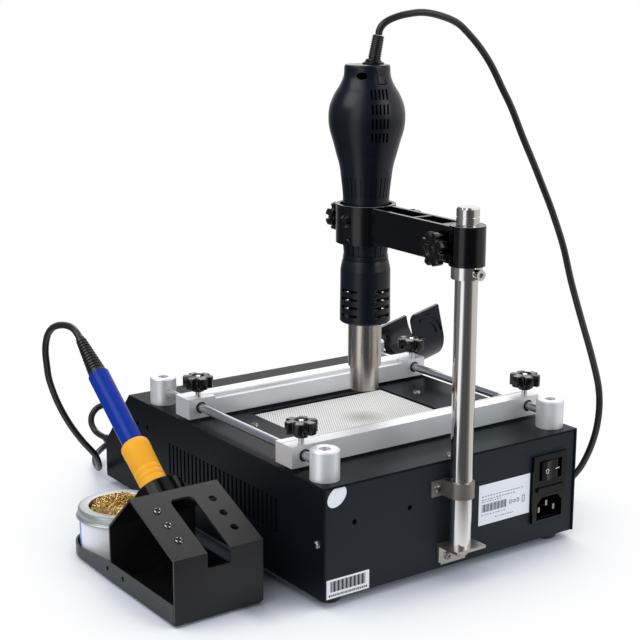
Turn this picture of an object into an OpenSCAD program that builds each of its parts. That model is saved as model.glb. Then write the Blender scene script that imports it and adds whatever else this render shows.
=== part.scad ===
/* [Chassis] */
// Width of the chassis, side to side
body_w = 220; // [200:1:260]
// Depth of the chassis, front to rear
body_d = 297; // [290:1:330]
// Height of the chassis without its feet
body_h = 76; // [72:1:90]
// Height of the rubber feet
foot_h = 6; // [4:0.5:12]
// Diameter of a chassis foot
foot_d = 16; // [10:1:22]
// Distance from a foot's centre to the edges of the chassis
foot_inset = 14; // [12:1:24]
// Thickness of the folded sheet
sheet = 1.5; // [1:0.1:2]
// How far the sloped control panel runs back from the front
slope_d = 41; // [36:1:48]
// Height of the upright strip under the control panel
lip_h = 29; // [26:1:34]
// How far the rear panel is set in from the cover's rear edge
rear_inset = 1; // [0.5:0.1:2]

/* [Side vents] */
// Number of slots in each side
vent_count = 27; // [10:1:30]
// Distance between two slots
vent_pitch = 5.4; // [4.5:0.1:5.6]
// Width of a slot
vent_w = 2.2; // [1.5:0.1:3]
// Height of a slot
vent_h = 24; // [15:1:30]
// Height of the slots' lower ends above the chassis bottom
vent_z = 30; // [20:1:36]
// Place of the first slot, measured back from the middle of the chassis
vent_start = -46; // [-56:1:-40]

/* [Heating plate] */
// Width of the ceramic plate
plate_w = 116; // [100:1:124]
// Depth of the ceramic plate
plate_d = 108; // [100:1:112]
// Thickness of the ceramic plate
plate_t = 6; // [5:0.5:8]
// How far the plate's centre lies behind the middle of the chassis
plate_y = 42; // [40:1:43]
// Clearance round the plate
plate_gap = 1.25; // [0.8:0.05:2]
// Depth of the heater pan under the top sheet
pan_h = 38; // [32:1:44]
// Diameter of a heating tube
tube_d = 10; // [8:0.5:12]
// Number of heating tubes
tube_count = 5; // [3:1:6]

/* [Board holder] */
// Diameter of a corner post
post_d = 19.5; // [16:0.5:22]
// Height of a corner post
post_h = 20; // [18:0.5:24]
// Distance from a post's centre to the side of the chassis
post_inset = 12; // [11:0.5:18]
// Distance from a rear post's centre to the chassis' rear edge
post_rear_in = 15.8; // [13:0.1:20]
// Distance from a front post's centre to the top edge of the control panel
post_front_in = 32.4; // [18:0.1:37]
// Diameter of a guide rod
guide_d = 6; // [5:0.5:7]
// Height of the guide rods above the top sheet
guide_z = 9.5; // [9:0.1:11]
// Depth of a clamp bar along the guide rods
bar_d = 19; // [16:0.5:22]
// Height of a clamp bar
bar_h = 14.5; // [14:0.5:17]
// Gap between a clamp bar and the top sheet
bar_lift = 1.8; // [1:0.1:2.4]
// How far a clamp bar reaches past the guide rods
bar_over = 10; // [6:0.5:11]
// Width of the ledge that carries the board's edge
ledge_w = 5.5; // [3:0.5:7]
// Depth of that ledge
ledge_h = 2.2; // [1:0.1:3]
// Distance of the rear bar from the rear edge
bar_rear = 47.7; // [43.5:0.1:58.5]
// Distance of the front bar behind the slope
bar_front = 78; // [72.5:0.1:87.5]
// Diameter of a star knob
knob_d = 22; // [18:0.5:24]
// Diameter of a star knob's stud
stud_d = 4; // [3:0.5:5]
// How far the studs lie behind the middle of their bar
stud_off = 5.5; // [5.5:0.1:6.5]

/* [Column and arm] */
// Diameter of the upright rod
rod_d = 15; // [12:0.5:16]
// Height of the rod's foot above the ground
rod_z = 24; // [22:0.5:28]
// Length of the upright rod
rod_l = 227.5; // [200:0.5:260]
// Place of the rod across the chassis
rod_x = 5; // [-10:0.5:12]
// Gap between the rod and the rear edge of the chassis
rod_gap = 1.5; // [1.5:0.1:3]
// Distance from the rod to the hot-air gun
arm_l = 113.6; // [105:0.1:118]
// Angle of the arm, from straight ahead
arm_a = 2.5; // [-6:0.5:6]
// Height of the arm
arm_h = 24; // [20:0.5:26]
// Width over both side plates of the arm
arm_w = 20; // [18:0.5:24]
// Thickness of an arm plate
arm_t = 3; // [2:0.5:4]
// Height of the arm's middle above the ground
arm_z = 226.8; // [215:0.1:234]
// Outer diameter of the clamp round the rod
clamp_d = 23.6; // [21.5:0.1:26]
// Outer diameter of the ring round the gun
ring_d = 42; // [41:0.5:46]
// Wall of that ring
ring_t = 2.6; // [2:0.1:4]
// Height of the ring
ring_h = 27; // [22:0.5:30]
// Height of the stop collar
collar_h = 8.2; // [6:0.1:10]
// Outer diameter of the stop collar
collar_d = 20.5; // [18:0.5:24]

/* [Hot-air gun] */
// Largest diameter of the handle
gun_d = 53; // [48:0.5:58]
// Diameter of the handle in the ring
neck_d = 32.4; // [31:0.1:33]
// Diameter of the handle's end
crown_d = 31.6; // [28:0.2:36]
// Wall of the moulded handle
gun_wall = 2.2; // [1.6:0.1:3]
// Diameter of the slotted guard
guard_d = 35.8; // [34.6:0.2:40]
// Length of the slotted guard
guard_l = 45; // [40:0.5:50]
// Diameter of the steel sleeve
barrel_d = 23.7; // [22:0.1:26]
// How far the sleeve shows under the guard
barrel_l = 32.4; // [26:0.2:40]
// Diameter of the nozzle
nozzle_d = 20.6; // [16:0.1:20.8]
// How far the nozzle shows under the sleeve
nozzle_l = 17; // [12:0.5:18]
// Diameter of the fan in the handle
fan_d = 38; // [30:0.5:40]

/* [Iron stand] */
// Width of the stand
stand_w = 65; // [60:1:76]
// How far the stand's front lies behind the middle of the chassis
stand_y = 118; // [100:1:130]
// Gap between the stand and the chassis
stand_gap = 24; // [15:1:40]
// Length of the housing from its front to its rear edge
house_d = 86; // [84:1:100]
// Height of the housing's front edge
house_front = 45; // [40:1:50]
// Height of the housing's ridge
house_ridge = 68.5; // [64:0.5:72]
// Height of the housing's rear edge
house_rear = 41; // [36:1:48]
// Height of the lip round the tray
lip_tray = 13.5; // [10:0.5:16]
// Elevation of the resting iron
iron_a = 37; // [34:0.5:40]
// Diameter of the holder's mouth
cup_d = 35; // [31:0.5:36]
// Outer diameter of the cleaning tin
tin_d = 58.5; // [50:0.5:59]
// Height of the cleaning tin
tin_h = 32; // [26:0.5:36]

/* [Soldering iron] */
// Diameter of the handle tube
iron_d = 15; // [13:0.5:17]
// Length of the handle tube
iron_l = 62; // [50:1:75]
// Diameter of the soft grip
grip_d = 20; // [18.5:0.5:22]
// Length of the soft grip
grip_l = 42; // [36:1:50]
// Length of the barrel and tip
tip_l = 72; // [60:1:76]

/* [Cords] */
// Diameter of the gun's cord
gun_cord_d = 5; // [4.5:0.1:6]
// Diameter of the iron's cord
iron_cord_d = 5; // [4.5:0.1:6]

/* [Hidden] */

$fn = 48;
// Overshoot of a cut past the face that it goes through
cut = 1;
// Radial clearance of a running fit
fit = 0.05;
// Clearance between pieces that pass each other
clear = 0.3;
// Radial clearance of a screw in its hole
screw_play = 0.25;

// Chassis planes
x_in = body_w / 2 - sheet;
y_front = -body_d / 2;
y_rear = body_d / 2;
y_panel = y_rear - rear_inset;
z_low = foot_h;
z_top = foot_h + body_h;
z_lip = foot_h + lip_h;
y_slope = y_front + slope_d;
slope_a = atan2(body_h - lip_h, slope_d);
slope_l = norm([body_h - lip_h, slope_d]);

// Panel screws
screw_d = 3;
screw_hole = screw_d + 2 * screw_play;
screw_head = 6;
screw_head_h = 1.8;
cover_screw_y = y_rear - 7;
cover_screw_z = z_low + 37;
top_screw_x = plate_w / 2 + 16;
top_screw_y = plate_y - 29;

// Front panel layout, along the slope and across
window_w = 46;
window_h = 17;
window_s = slope_l - 17;
window_x = [-66, 0, 66];
dial_s = 18;
dial_x = [-66, -18, 18, 66];
dial_d = 19;
dial_h = 13;
dial_shaft = 6;
switch_s = 18;
switch_x = [-42, 42];
switch_w = 13;
switch_h = 19;
switch_in_w = switch_w - 2.4;
switch_in_h = switch_h - 2.4;
switch_pin = 1.6;
gland_x = body_w / 2 - 12;
gland_z = z_low + 22;
gland_d = 12;
gland_l = 22;
socket_x = gland_x - 26;
socket_z = z_low + 15;
socket_d = 17;
plug_d = 14.5;
plug_l = 26;

// Parts inside the chassis
core_x = 52 - body_w / 2;
core_y = y_front + 76.5;
board_w = body_w - 34;
board_d = 48;
board_deep = 15;
board_t = 1.6;

// Open screw holes in the rear panel
rear_hole_x = [body_w / 2 - 25, body_w / 2 - 70];
rear_hole_z = z_low + 48.5;
rear_hole_d = 3.8;

// Inlet module on the rear panel
inlet_x = 26 - body_w / 2;
inlet_z = 44;
inlet_w = 31.6;
inlet_h = 49;
inlet_face = 2.6;
inlet_body_w = 27.6;
inlet_body_h = 45;
inlet_deep = 26;
rocker_z = inlet_z + 13.2;
rocker_w = 21;
rocker_h = 13.6;
rocker_r = 22;
rocker_pivot = 7;
rocker_tilt = 8;
rocker_pin = 2;
drawer_z = inlet_z - 0.3;
drawer_w = 22;
drawer_h = 8;
drawer_deep = 20;
c14_z = inlet_z - 14.6;
c14_w = 24;
c14_h = 16.2;
c14_deep = 17;
c14_cut = 4.5;

// Board holder
z_guide = z_top + guide_z;
z_bar = z_top + bar_lift;
stud_z = z_guide + guide_d / 2 + clear / 2;
knob_z = z_bar + bar_h + 6.5;
knob_h = 10;
post_x = body_w / 2 - post_inset;
post_rear = y_rear - post_rear_in;
post_front = -y_slope - post_front_in;
bar_rear_y = y_rear - bar_rear;
bar_front_y = y_slope + bar_front;
bar_l = 2 * (post_x + bar_over);
ledge_in = 22;
groove_w = 0.9;
set_screw_d = 8;

// Column
rod_y = y_rear + rod_gap + rod_d / 2;
rod_top = rod_z + rod_l;
cap_h = 6.5;
clip_z = z_low + 52;
clip_h = 11;
clip_t = 1.4;
clip_tab = 13;
bracket_w = 25;
bracket_t = 2;
bracket_h = 15;
bracket_x = rod_x - 1.5;

// Arm, in its own frame: rod at the origin, gun at -arm_l along Y
clamp_h = arm_h + 2;
z_arm_low = arm_z - clamp_h / 2;
web_y = -46;
knob_bolt_y = -14;
knob_drop = 3;
ring_bolt_y = -arm_l + ring_d / 2 + 13;
bolt_d = 4;
side_knob_h = 8;
side_knob_d = 24;
washer_gap = 1.6;
nut_h = 3.3;

// Gun, measured up and down from the ring's middle
gun_x = rod_x - arm_l * sin(arm_a);
gun_y = rod_y - arm_l * cos(arm_a);
z_ring = arm_z - 1.3;
z_guard_top = z_ring - 25.7;
z_guard_low = z_guard_top - guard_l;
z_barrel_low = z_guard_low - barrel_l;
z_tip = z_barrel_low - nozzle_l;
z_crown = z_ring + 109;
barrel_wall = 1.45;
nozzle_grip = 16;
vent_face_a = 77;
guard_slot_a = 10;
relief_lean = 10;
relief_l = 19.7;
relief_d = 10.5;
relief_off = 4;
relief_a = 145;
crown_disc = 1.4;
bulkhead_z = 57;
fan_z = 67;
fan_hub = 9;
fan_shaft = 3;
louvre_w = 1.9;
louvre_h = 6.8;
louvre_pitch = 10;

// Gun cradle on the side of the chassis
cradle_y = -66;
cradle_r = 22;
cradle_wall = 3;
cradle_d = 29;
cradle_tilt = 14;
cradle_near = 25;
cradle_far = 5;
cradle_out = 7;
cradle_z = z_top + 20;

// Iron stand
stand_x0 = body_w / 2 + stand_gap;
stand_xc = stand_x0 + stand_w / 2 + 1.5;
stand_sheet = 1.4;
tray_foot = 2;
ridge_y = stand_y - (house_d - 30);
house_back = stand_y - house_d;
slope_house = atan2(house_ridge - house_front, stand_y - ridge_y);
slope_rear = atan2(house_ridge - house_rear, ridge_y - house_back);
tin_gap = 17;
tin_y = house_back - tin_d / 2 - tin_gap;
tail_r = tin_d / 2 + 2.2;
z_tray = tray_foot + stand_sheet;
z_lip_top = tray_foot + lip_tray;
tail_lip = 6.5;
tin_lid = 7;
tin_rim = 7.7;
tin_bead = 1.3;
slot_w = 17;
slot_r = 4;
slot_in = 8.3;
notch_h = 10.5;
tip_hole_d = 5;
tip_x = 20.5;
tip_pitch = 13.2;

// Iron axis, through the cup on the housing's sloped rear
cup_drop = cup_d / 2 + 1.7;
cup_y = ridge_y - cup_drop * sin(iron_a);
cup_z = house_ridge - cup_drop * cos(iron_a);
cup_l = 13;
cup_wall = 2.5;
cup_nose = 2.2;
nose_bore = 12;
cup_play = 0.6;
barrel_r = 4.4;
grip_nose = 8;
tube_wall = 1.5;
cup_ledge = 4;
iron_seat = cup_l - 3;
z_iron = iron_seat + clear;
relief_iron_l = 34.7;

// Cord routes, points chosen by hand
gun_route = [[-6.1, 48.3, 354.2], [-6.6, 48.7, 357.6], [-9, 50, 361.6], [-14.5, 52, 365], [-24, 55, 367.8],
    [-37, 58, 369], [-51, 60, 366.5], [-65, 61, 361.5], [-76, 61.6, 353.2], [-86, 63, 343],
    [-95, 64.5, 331], [-104, 66, 315.6], [-112, 68, 301], [-121, 71, 280], [-129, 74, 262],
    [-136, 77, 245], [-143, 81, 226], [-150, 87, 200], [-155, 92, 173], [-158, 101, 146],
    [-160, 112, 118], [-160.5, 120, 94], [-160, 120.5, 70], [-159, 114, 46], [-158, 102, 25],
    [-157, 84, 11], [-156, 60, 4], [-155, 30, 2.6], [-154, -10, 2.6], [-153, -55, 2.6],
    [-150, -100, 2.6], [-141, -140, 2.6], [-122, -172, 2.6], [-92, -192, 2.6],
    [-55, -200, 2.6], [-20, -202, 3.5], [12, -201, 8], [38, -199, 18], [58, -197, 31],
    [73, -195, 43], [84, -194.5, 48.5], [93, -195, 47.5], [98, -196, 42], [99.5, -195, 35.5],
    [98.8, -190.5, 30], [98, -184.5, 28], [98, -177.5, 28], [98, -170.5, 28]];
iron_route = [[168, -68.8, 143], [168.2, -74, 146.4], [168.6, -81, 148.4], [169.2, -91, 148],
    [170, -102, 145.4], [170.3, -111, 141], [170.5, -118, 134], [170, -123, 123], [168, -126, 110],
    [165, -129, 97], [157, -134, 78], [148, -135, 60], [138, -134, 44], [126, -136, 29],
    [118, -146, 16], [112, -160, 9], [106, -177, 7], [98, -192, 8], [87, -199.5, 11],
    [78, -198, 15.5], [73, -193.5, 19.5], [72, -187, 21], [72, -181.5, 21], [72, -176, 21]];

function unit(v) = v / norm(v);
function arc(r, a0, a1, n) =
    [for (i = [0:n], a = [a0 + (a1 - a0) * i / n]) r * [cos(a), sin(a)]];

// Tangent of a route at one of its points
function heading(p, i) = unit(p[min(i + 1, len(p) - 1)] - p[max(i - 1, 0)]);

// Two directions across the route at each point, carried along it without a twist
function carry(p, u, i = 0) = i == len(p) ? [] :
    let (t = heading(p, i), w = unit(u - (u * t) * t)) concat([[w, cross(t, w)]], carry(p, w, i + 1));

// A round cord swept along its route, one ring at each point
module cord(p, d, sides = 8) {
    side_dirs = carry(p, [0, 0, 1]);
    rings = [for (i = [0:len(p) - 1]) for (k = [0:sides - 1])
        p[i] + d / 2 * (cos(360 * k / sides) * side_dirs[i][0] + sin(360 * k / sides) * side_dirs[i][1])];
    last = (len(p) - 1) * sides;
    polyhedron(rings, concat(
        [[for (k = [0:sides - 1]) k]],
        [for (i = [0:len(p) - 2]) for (k = [0:sides - 1])
            let (a = i * sides, b = (k + 1) % sides) [a + k, a + sides + k, a + sides + b, a + b]],
        [[for (k = [sides - 1:-1:0]) last + k]]));
}

// Smooth outline through a few stations, each [height, radius]
function blend4(a, b, c, d, t) = 0.5 * ((2 * b) + (c - a) * t + (2 * a - 5 * b + 4 * c - d) * t * t
    + (3 * b - a - 3 * c + d) * t * t * t);
function smooth(p, n) = concat([for (i = [0:len(p) - 2]) for (k = [0:n - 1])
    blend4(p[max(i - 1, 0)], p[i], p[i + 1], p[min(i + 2, len(p) - 1)], k / n)], [p[len(p) - 1]]);

module slab(w, d, h) {
    translate([-w / 2, -d / 2, 0]) cube([w, d, h]);
}
module bore(d, l) {
    translate([0, 0, -l / 2]) cylinder(d = d, h = l);
}
// Places its children on the control panel, s along the slope from its lower edge
module on_slope(x, s) {
    translate([x, y_front + s * cos(slope_a), z_lip + s * sin(slope_a)])
        rotate([slope_a, 0, 0]) children();
}
module on_rear(x, z) {
    translate([x, y_panel, z]) rotate([-90, 0, 0]) children();
}
module on_front(x, z) {
    translate([x, y_front, z]) rotate([90, 0, 0]) children();
}
module at_rod() {
    translate([rod_x, rod_y, 0]) rotate([0, 0, -arm_a]) children();
}
module at_gun() {
    translate([gun_x, gun_y, 0]) children();
}
// Lays its children along the resting iron: up the handle is +Z
module along_iron() {
    translate([stand_xc, cup_y, cup_z]) rotate([90 - iron_a, 0, 0]) children();
}

// Outline of the chassis seen from its side
module side_outline() {
    polygon([[y_front, z_low], [y_front, z_lip], [y_slope, z_top], [y_rear, z_top], [y_rear, z_low]]);
}

module foot(d, h) {
    rotate_extrude() polygon([[0, 0], [d / 2 - 1.2, 0], [d / 2, 1.2], [d / 2 - 0.6, h], [0, h]]);
}

module rubber_feet() {
    color([0.08, 0.08, 0.08]) {
        for (x = [-1, 1], y = [-1, 1])
            translate([x * (body_w / 2 - foot_inset), y * (body_d / 2 - foot_inset), 0])
                foot(foot_d, foot_h);
        for (x = [-1, 1], y = [tin_y + 5, stand_y - 10])
            translate([stand_xc + x * (tail_r - 7), y, 0]) foot(9, tray_foot);
    }
}

module base_tray() {
    tray_d = y_panel - y_front - 2 * sheet;
    tray_flange = 12;
    air_pitch = 12;
    air_w = 3;
    air_l = 60;
    color([0.12, 0.12, 0.13]) difference() {
        union() {
            translate([-x_in, y_front + sheet, z_low]) cube([2 * x_in, tray_d, sheet]);
            for (x = [-x_in, x_in - sheet])
                translate([x, y_front + sheet, z_low]) cube([sheet, tray_d, tray_flange]);
        }
        for (i = [-5:5])
            translate([i * air_pitch, 10, z_low - cut]) slab(air_w, air_l, sheet + 2 * cut);
    }
}

module side_sheet() {
    difference() {
        rotate([90, 0, 90]) linear_extrude(sheet) side_outline();
        for (i = [0:vent_count - 1])
            translate([-cut, vent_start + i * vent_pitch - vent_w / 2, z_low + vent_z])
                cube([sheet + 2 * cut, vent_w, vent_h]);
        for (y = [cover_screw_y, y_front + 54, y_front + 69])
            translate([sheet / 2, y, y == cover_screw_y ? cover_screw_z : z_top - 19])
                rotate([0, 90, 0]) bore(screw_hole, sheet + 2 * cut);
    }
}

module casing_cover() {
    color([0.13, 0.13, 0.15]) {
        difference() {
            union() {
                translate([-body_w / 2, 0, 0]) side_sheet();
                translate([x_in, 0, 0]) side_sheet();
                translate([-x_in, y_slope, z_top - sheet]) cube([2 * x_in, y_rear - y_slope, sheet]);
            }
            translate([0, plate_y, z_top - sheet - cut])
                slab(plate_w + 2 * plate_gap, plate_d + 2 * plate_gap, sheet + 2 * cut);
            for (x = [-1, 1])
                translate([x * top_screw_x, top_screw_y, z_top]) bore(screw_hole, 3 * sheet);
            translate([2, y_rear - 6, z_top]) bore(screw_hole, 3 * sheet);
        }
    }
}

module front_panel() {
    inner_z = z_lip - sheet / cos(slope_a) + sheet * tan(slope_a);
    color([0.13, 0.13, 0.15]) {
        difference() {
            translate([-x_in, 0, 0]) rotate([90, 0, 90]) linear_extrude(2 * x_in)
                polygon([[y_front, z_low], [y_front, z_lip], [y_slope, z_top],
                    [y_slope, z_top - sheet / cos(slope_a)], [y_front + sheet, inner_z],
                    [y_front + sheet, z_low]]);
            for (x = window_x) on_slope(x, window_s) translate([0, 0, -3]) slab(window_w, window_h, 6);
            for (x = dial_x) on_slope(x, dial_s) bore(dial_shaft + 2, 8);
            for (x = switch_x) on_slope(x, switch_s) translate([0, 0, -3]) slab(switch_w, switch_h, 6);
            on_front(gland_x, gland_z) bore(gland_d - 4, 8);
            on_front(socket_x, socket_z) bore(socket_d - 3, 8);
        }
        for (x = switch_x) on_slope(x, switch_s) switch_frame();
    }
}

module rear_panel() {
    color([0.12, 0.12, 0.13]) difference() {
        translate([-x_in, y_panel - sheet, z_low]) cube([2 * x_in, sheet, body_h - sheet]);
        on_rear(inlet_x, inlet_z) translate([0, 0, -4])
            slab(inlet_body_w + clear, inlet_body_h + clear, 8);
        for (x = rear_hole_x) on_rear(x, rear_hole_z) bore(rear_hole_d, 8);
        for (x = [-1, 1]) on_rear(bracket_x + 5 * x, z_low + 8.5) bore(screw_hole, 8);
        on_rear(rod_x + clip_tab, clip_z + clip_h / 2) bore(screw_hole, 8);
    }
}

module heater_pan() {
    in_w = plate_w + 2 * plate_gap;
    in_d = plate_d + 2 * plate_gap;
    z_rim = z_top - sheet;
    z_ledge = z_top - 1 - plate_t;
    color([0.6, 0.6, 0.6]) difference() {
        union() {
            translate([0, plate_y, z_rim - pan_h]) slab(in_w + 3, in_d + 3, pan_h);
            translate([0, plate_y, z_rim - sheet]) slab(in_w + 16, in_d + 32, sheet);
            for (x = [-1, 1])
                translate([x * (top_screw_x - 2), top_screw_y, z_rim - sheet]) slab(20, 14, sheet);
        }
        translate([0, plate_y, z_ledge]) slab(in_w, in_d, plate_t + 10);
        translate([0, plate_y, z_rim - pan_h + 1.5]) slab(in_w - 3, in_d - 3, pan_h);
        for (x = [-1, 1]) translate([x * top_screw_x, top_screw_y, z_rim]) bore(screw_hole, 8);
        for (i = [0:tube_count - 1])
            translate([0, tube_y(i), z_tubes]) rotate([0, 90, 0]) bore(tube_d + 2 * fit, in_w + 30);
    }
}
z_tubes = z_top - sheet - pan_h + 17;
function tube_y(i) = plate_y + (i - (tube_count - 1) / 2) * (plate_d - 18) / (tube_count - 1);

module heater_tubes() {
    for (i = [0:tube_count - 1]) translate([0, tube_y(i), z_tubes]) rotate([0, 90, 0]) {
        color([0.9, 0.85, 0.75]) bore(tube_d, plate_w + 12);
        color([0.75, 0.75, 0.75]) for (s = [-1, 1])
            translate([0, 0, s * (plate_w / 2 + 9)]) bore(tube_d - 4, 6);
    }
}

module ceramic_plate() {
    color([0.93, 0.93, 0.9]) translate([0, plate_y, z_top - 1 - plate_t]) slab(plate_w, plate_d, plate_t);
}

module transformer() {
    core_w = 66;
    core_h = 55;
    stack = 34;
    translate([core_x, core_y, z_low + sheet]) {
        color([0.35, 0.33, 0.32]) difference() {
            slab(core_w, stack, core_h);
            for (x = [-1, 1]) translate([x * core_w / 4, 0, core_h / 2 - 16.5]) slab(11, stack + 2, 33);
        }
        color([0.8, 0.65, 0.2]) difference() {
            translate([0, 0, core_h / 2 - 16]) slab(43, stack + 16, 32);
            translate([0, 0, core_h / 2 - 17]) slab(22.4, stack + 0.4, 34);
            for (x = [-1, 1])
                translate([x * (core_w / 4 + 12), 0, core_h / 2 - 17]) slab(13.4, stack + 0.4, 34);
        }
        color([0.5, 0.5, 0.5]) for (x = [-1, 1]) translate([x * (core_w / 2 + 6), 0, 0]) slab(12, 12, 2);
    }
}

module control_board() {
    board_s = slope_l / 2 + 1;
    board_top = board_deep - board_t;
    post_in = 4;
    color([0.05, 0.3, 0.15]) on_slope(0, board_s) translate([0, 0, -board_deep])
        slab(board_w, board_d, board_t);
    color([0.1, 0.1, 0.1]) for (x = window_x) on_slope(x, window_s)
        translate([0, 0, -board_top]) slab(window_w - 6, window_h - 4, 9);
    color([0.7, 0.7, 0.7]) for (x = dial_x) on_slope(x, dial_s) {
        translate([0, 0, -board_top]) slab(14, 14, 8);
        translate([0, 0, -6]) cylinder(d = dial_shaft, h = 12);
    }
    color([0.75, 0.65, 0.3])
        for (x = [-1, 1] * (board_w / 2 - post_in), s = [-1, 1] * (board_d / 2 - post_in))
            on_slope(x, board_s + s) translate([0, 0, -board_top]) cylinder(d = 5, h = board_top - sheet);
}

module display_windows() {
    color([0.25, 0.02, 0.02]) for (x = window_x) on_slope(x, window_s) {
        translate([0, 0, -sheet]) slab(window_w - 2 * fit, window_h - 2 * fit, sheet);
        slab(window_w + 4, window_h + 4, 1);
    }
}

// Round dial with a flat-sided skirt and a pointer groove
module dial() {
    color([0.1, 0.1, 0.1]) difference() {
        rotate_extrude() polygon([[dial_shaft / 2 + fit, 0.8], [dial_d / 2, 0.8], [dial_d / 2, 3],
            [dial_d / 2 - 1.8, 4], [dial_d / 2 - 2.6, dial_h - 1], [dial_d / 2 - 3.6, dial_h],
            [0, dial_h], [0, 6.6], [dial_shaft / 2 + fit, 6.6]]);
        translate([0, dial_d / 4, dial_h]) slab(1.2, dial_d / 2, 1.2);
        for (a = [0:30:359]) rotate([0, 0, a])
            translate([dial_d / 2 - 1.9, 0, 4.2]) cylinder(r = 0.7, h = 12, $fn = 16);
    }
}

// Small rocker, tilted to its off side about an axis in the panel's face
module panel_switch() {
    face_r = 0.75 * switch_h;
    body_x = switch_in_w - 2 * clear;
    color([0.12, 0.12, 0.12]) rotate([rocker_tilt, 0, 0]) {
        intersection() {
            translate([0, 0, 3.6 - face_r]) rotate([0, 90, 0]) bore(2 * face_r, body_x);
            translate([0, 0, -rocker_pivot]) slab(body_x, switch_in_h - 2.6, 13);
        }
        rotate([0, 90, 0]) bore(switch_pin, switch_in_w + 1.4);
    }
}
// Frame snapped into the panel round a small rocker
module switch_frame() {
    difference() {
        union() {
            slab(switch_w + 3, switch_h + 3, 1.2);
            translate([0, 0, -10]) slab(switch_w, switch_h, 10.1);
        }
        translate([0, 0, -9]) slab(switch_in_w, switch_in_h, 14);
        rotate([0, 90, 0]) bore(switch_pin + 2 * fit, switch_in_w + 1.8);
    }
}

module corner_posts() {
    chamfer = 0.8;
    color([0.78, 0.78, 0.8]) for (x = [-1, 1], y = [post_rear, -post_front])
        translate([x * post_x, y, z_top]) difference() {
            rotate_extrude() polygon([[0, 0], [post_d / 2, 0], [post_d / 2, post_h - chamfer],
                [post_d / 2 - chamfer, post_h], [0, post_h]]);
            translate([0, 0, guide_z]) cylinder(d = set_screw_d, h = post_h);
            translate([0, y > 0 ? -post_d : post_d, guide_z]) rotate([90, 0, 0])
                bore(guide_d + 2 * fit, 3 * post_d - 6);
        }
}

module guide_rods() {
    color([0.8, 0.8, 0.82]) for (x = [-1, 1])
        translate([x * post_x, (post_rear - post_front) / 2, z_guide]) rotate([90, 0, 0])
            bore(guide_d, post_rear + post_front + post_d - 7);
}

module pan_screw() {
    translate([0, 0, -5]) cylinder(d = screw_d, h = 5 + screw_head_h / 2);
    difference() {
        rotate_extrude() polygon([[0, 0], [screw_head / 2, 0], [screw_head / 2 - 0.4, screw_head_h - 0.7],
            [screw_head / 2 - 1.3, screw_head_h], [0, screw_head_h]]);
        for (a = [0, 90]) rotate([0, 0, a]) translate([0, 0, screw_head_h - 0.9]) slab(3.2, 0.8, 2);
    }
}

module steel_screws() {
    color([0.7, 0.7, 0.72]) {
        for (x = [-1, 1], y = [post_rear, -post_front])
            translate([x * post_x, y, z_top + guide_z + guide_d / 2 + fit]) difference() {
                cylinder(d = set_screw_d - 2 * fit, h = 6);
                translate([0, 0, 2.5]) cylinder(d = 4.6, h = 6, $fn = 6);
            }
        for (x = [-1, 1]) {
            translate([x * body_w / 2, cover_screw_y, cover_screw_z]) rotate([0, x * 90, 0]) pan_screw();
            translate([x * top_screw_x, top_screw_y, z_top]) pan_screw();
            on_rear(bracket_x + 5 * x, z_low + 8.5) translate([0, 0, bracket_t]) pan_screw();
        }
        translate([2, y_rear - 6, z_top]) pan_screw();
        on_rear(rod_x + clip_tab, clip_z + clip_h / 2) translate([0, 0, clip_t]) pan_screw();
    }
}

module inlet_module() {
    color([0.07, 0.07, 0.07]) on_rear(inlet_x, 0) difference() {
        union() {
            translate([0, -inlet_z, 0]) slab(inlet_w, inlet_h, inlet_face);
            translate([0, -inlet_z, -inlet_deep]) slab(inlet_body_w, inlet_body_h, inlet_deep);
        }
        translate([0, -rocker_z, -9]) slab(rocker_w + 2 * clear, rocker_h + 2 * clear, 20);
        translate([0, -rocker_z, 0]) rotate([90, 0, 0]) bore(rocker_pin + 2 * fit, rocker_h + 3);
        translate([0, -drawer_z, -drawer_deep]) slab(drawer_w + 0.4, drawer_h + 0.4, drawer_deep + 9);
        translate([0, -c14_z, inlet_face - c14_deep]) linear_extrude(c14_deep + cut)
            polygon([[-c14_w / 2, c14_cut - c14_h / 2], [c14_cut - c14_w / 2, -c14_h / 2],
                [c14_w / 2 - c14_cut, -c14_h / 2], [c14_w / 2, c14_cut - c14_h / 2],
                [c14_w / 2, c14_h / 2], [-c14_w / 2, c14_h / 2]]);
    }
}

module inlet_pins() {
    color([0.85, 0.7, 0.35]) on_rear(inlet_x, 0)
        for (p = [[-7, 2], [0, -2], [7, 2]])
            translate([p[0], -c14_z + p[1], inlet_face - c14_deep]) slab(2, 4, c14_deep - 3);
}

module mains_rocker() {
    color([0.1, 0.1, 0.1]) on_rear(inlet_x, 0) translate([0, -rocker_z, 0])
        rotate([0, -rocker_tilt, 0]) {
            difference() {
                intersection() {
                    translate([0, 0, -rocker_r + 4.5]) rotate([90, 0, 0]) bore(2 * rocker_r, rocker_h);
                    translate([0, 0, -rocker_pivot]) slab(rocker_w - 2.4, rocker_h, 14);
                }
                translate([0, 0, rocker_r + 3.2]) rotate([90, 0, 0]) bore(2 * rocker_r, rocker_h + 2);
            }
            rotate([90, 0, 0]) bore(rocker_pin, rocker_h + 2.4);
        }
}

module fuse_drawer() {
    color([0.08, 0.08, 0.08]) on_rear(inlet_x, 0) translate([0, -drawer_z, 0]) {
        translate([0, 0, -drawer_deep + 1]) slab(drawer_w, drawer_h, drawer_deep - 1 + inlet_face);
        translate([0, 0, inlet_face]) slab(drawer_w + 3, 3, 1.6);
    }
}

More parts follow.
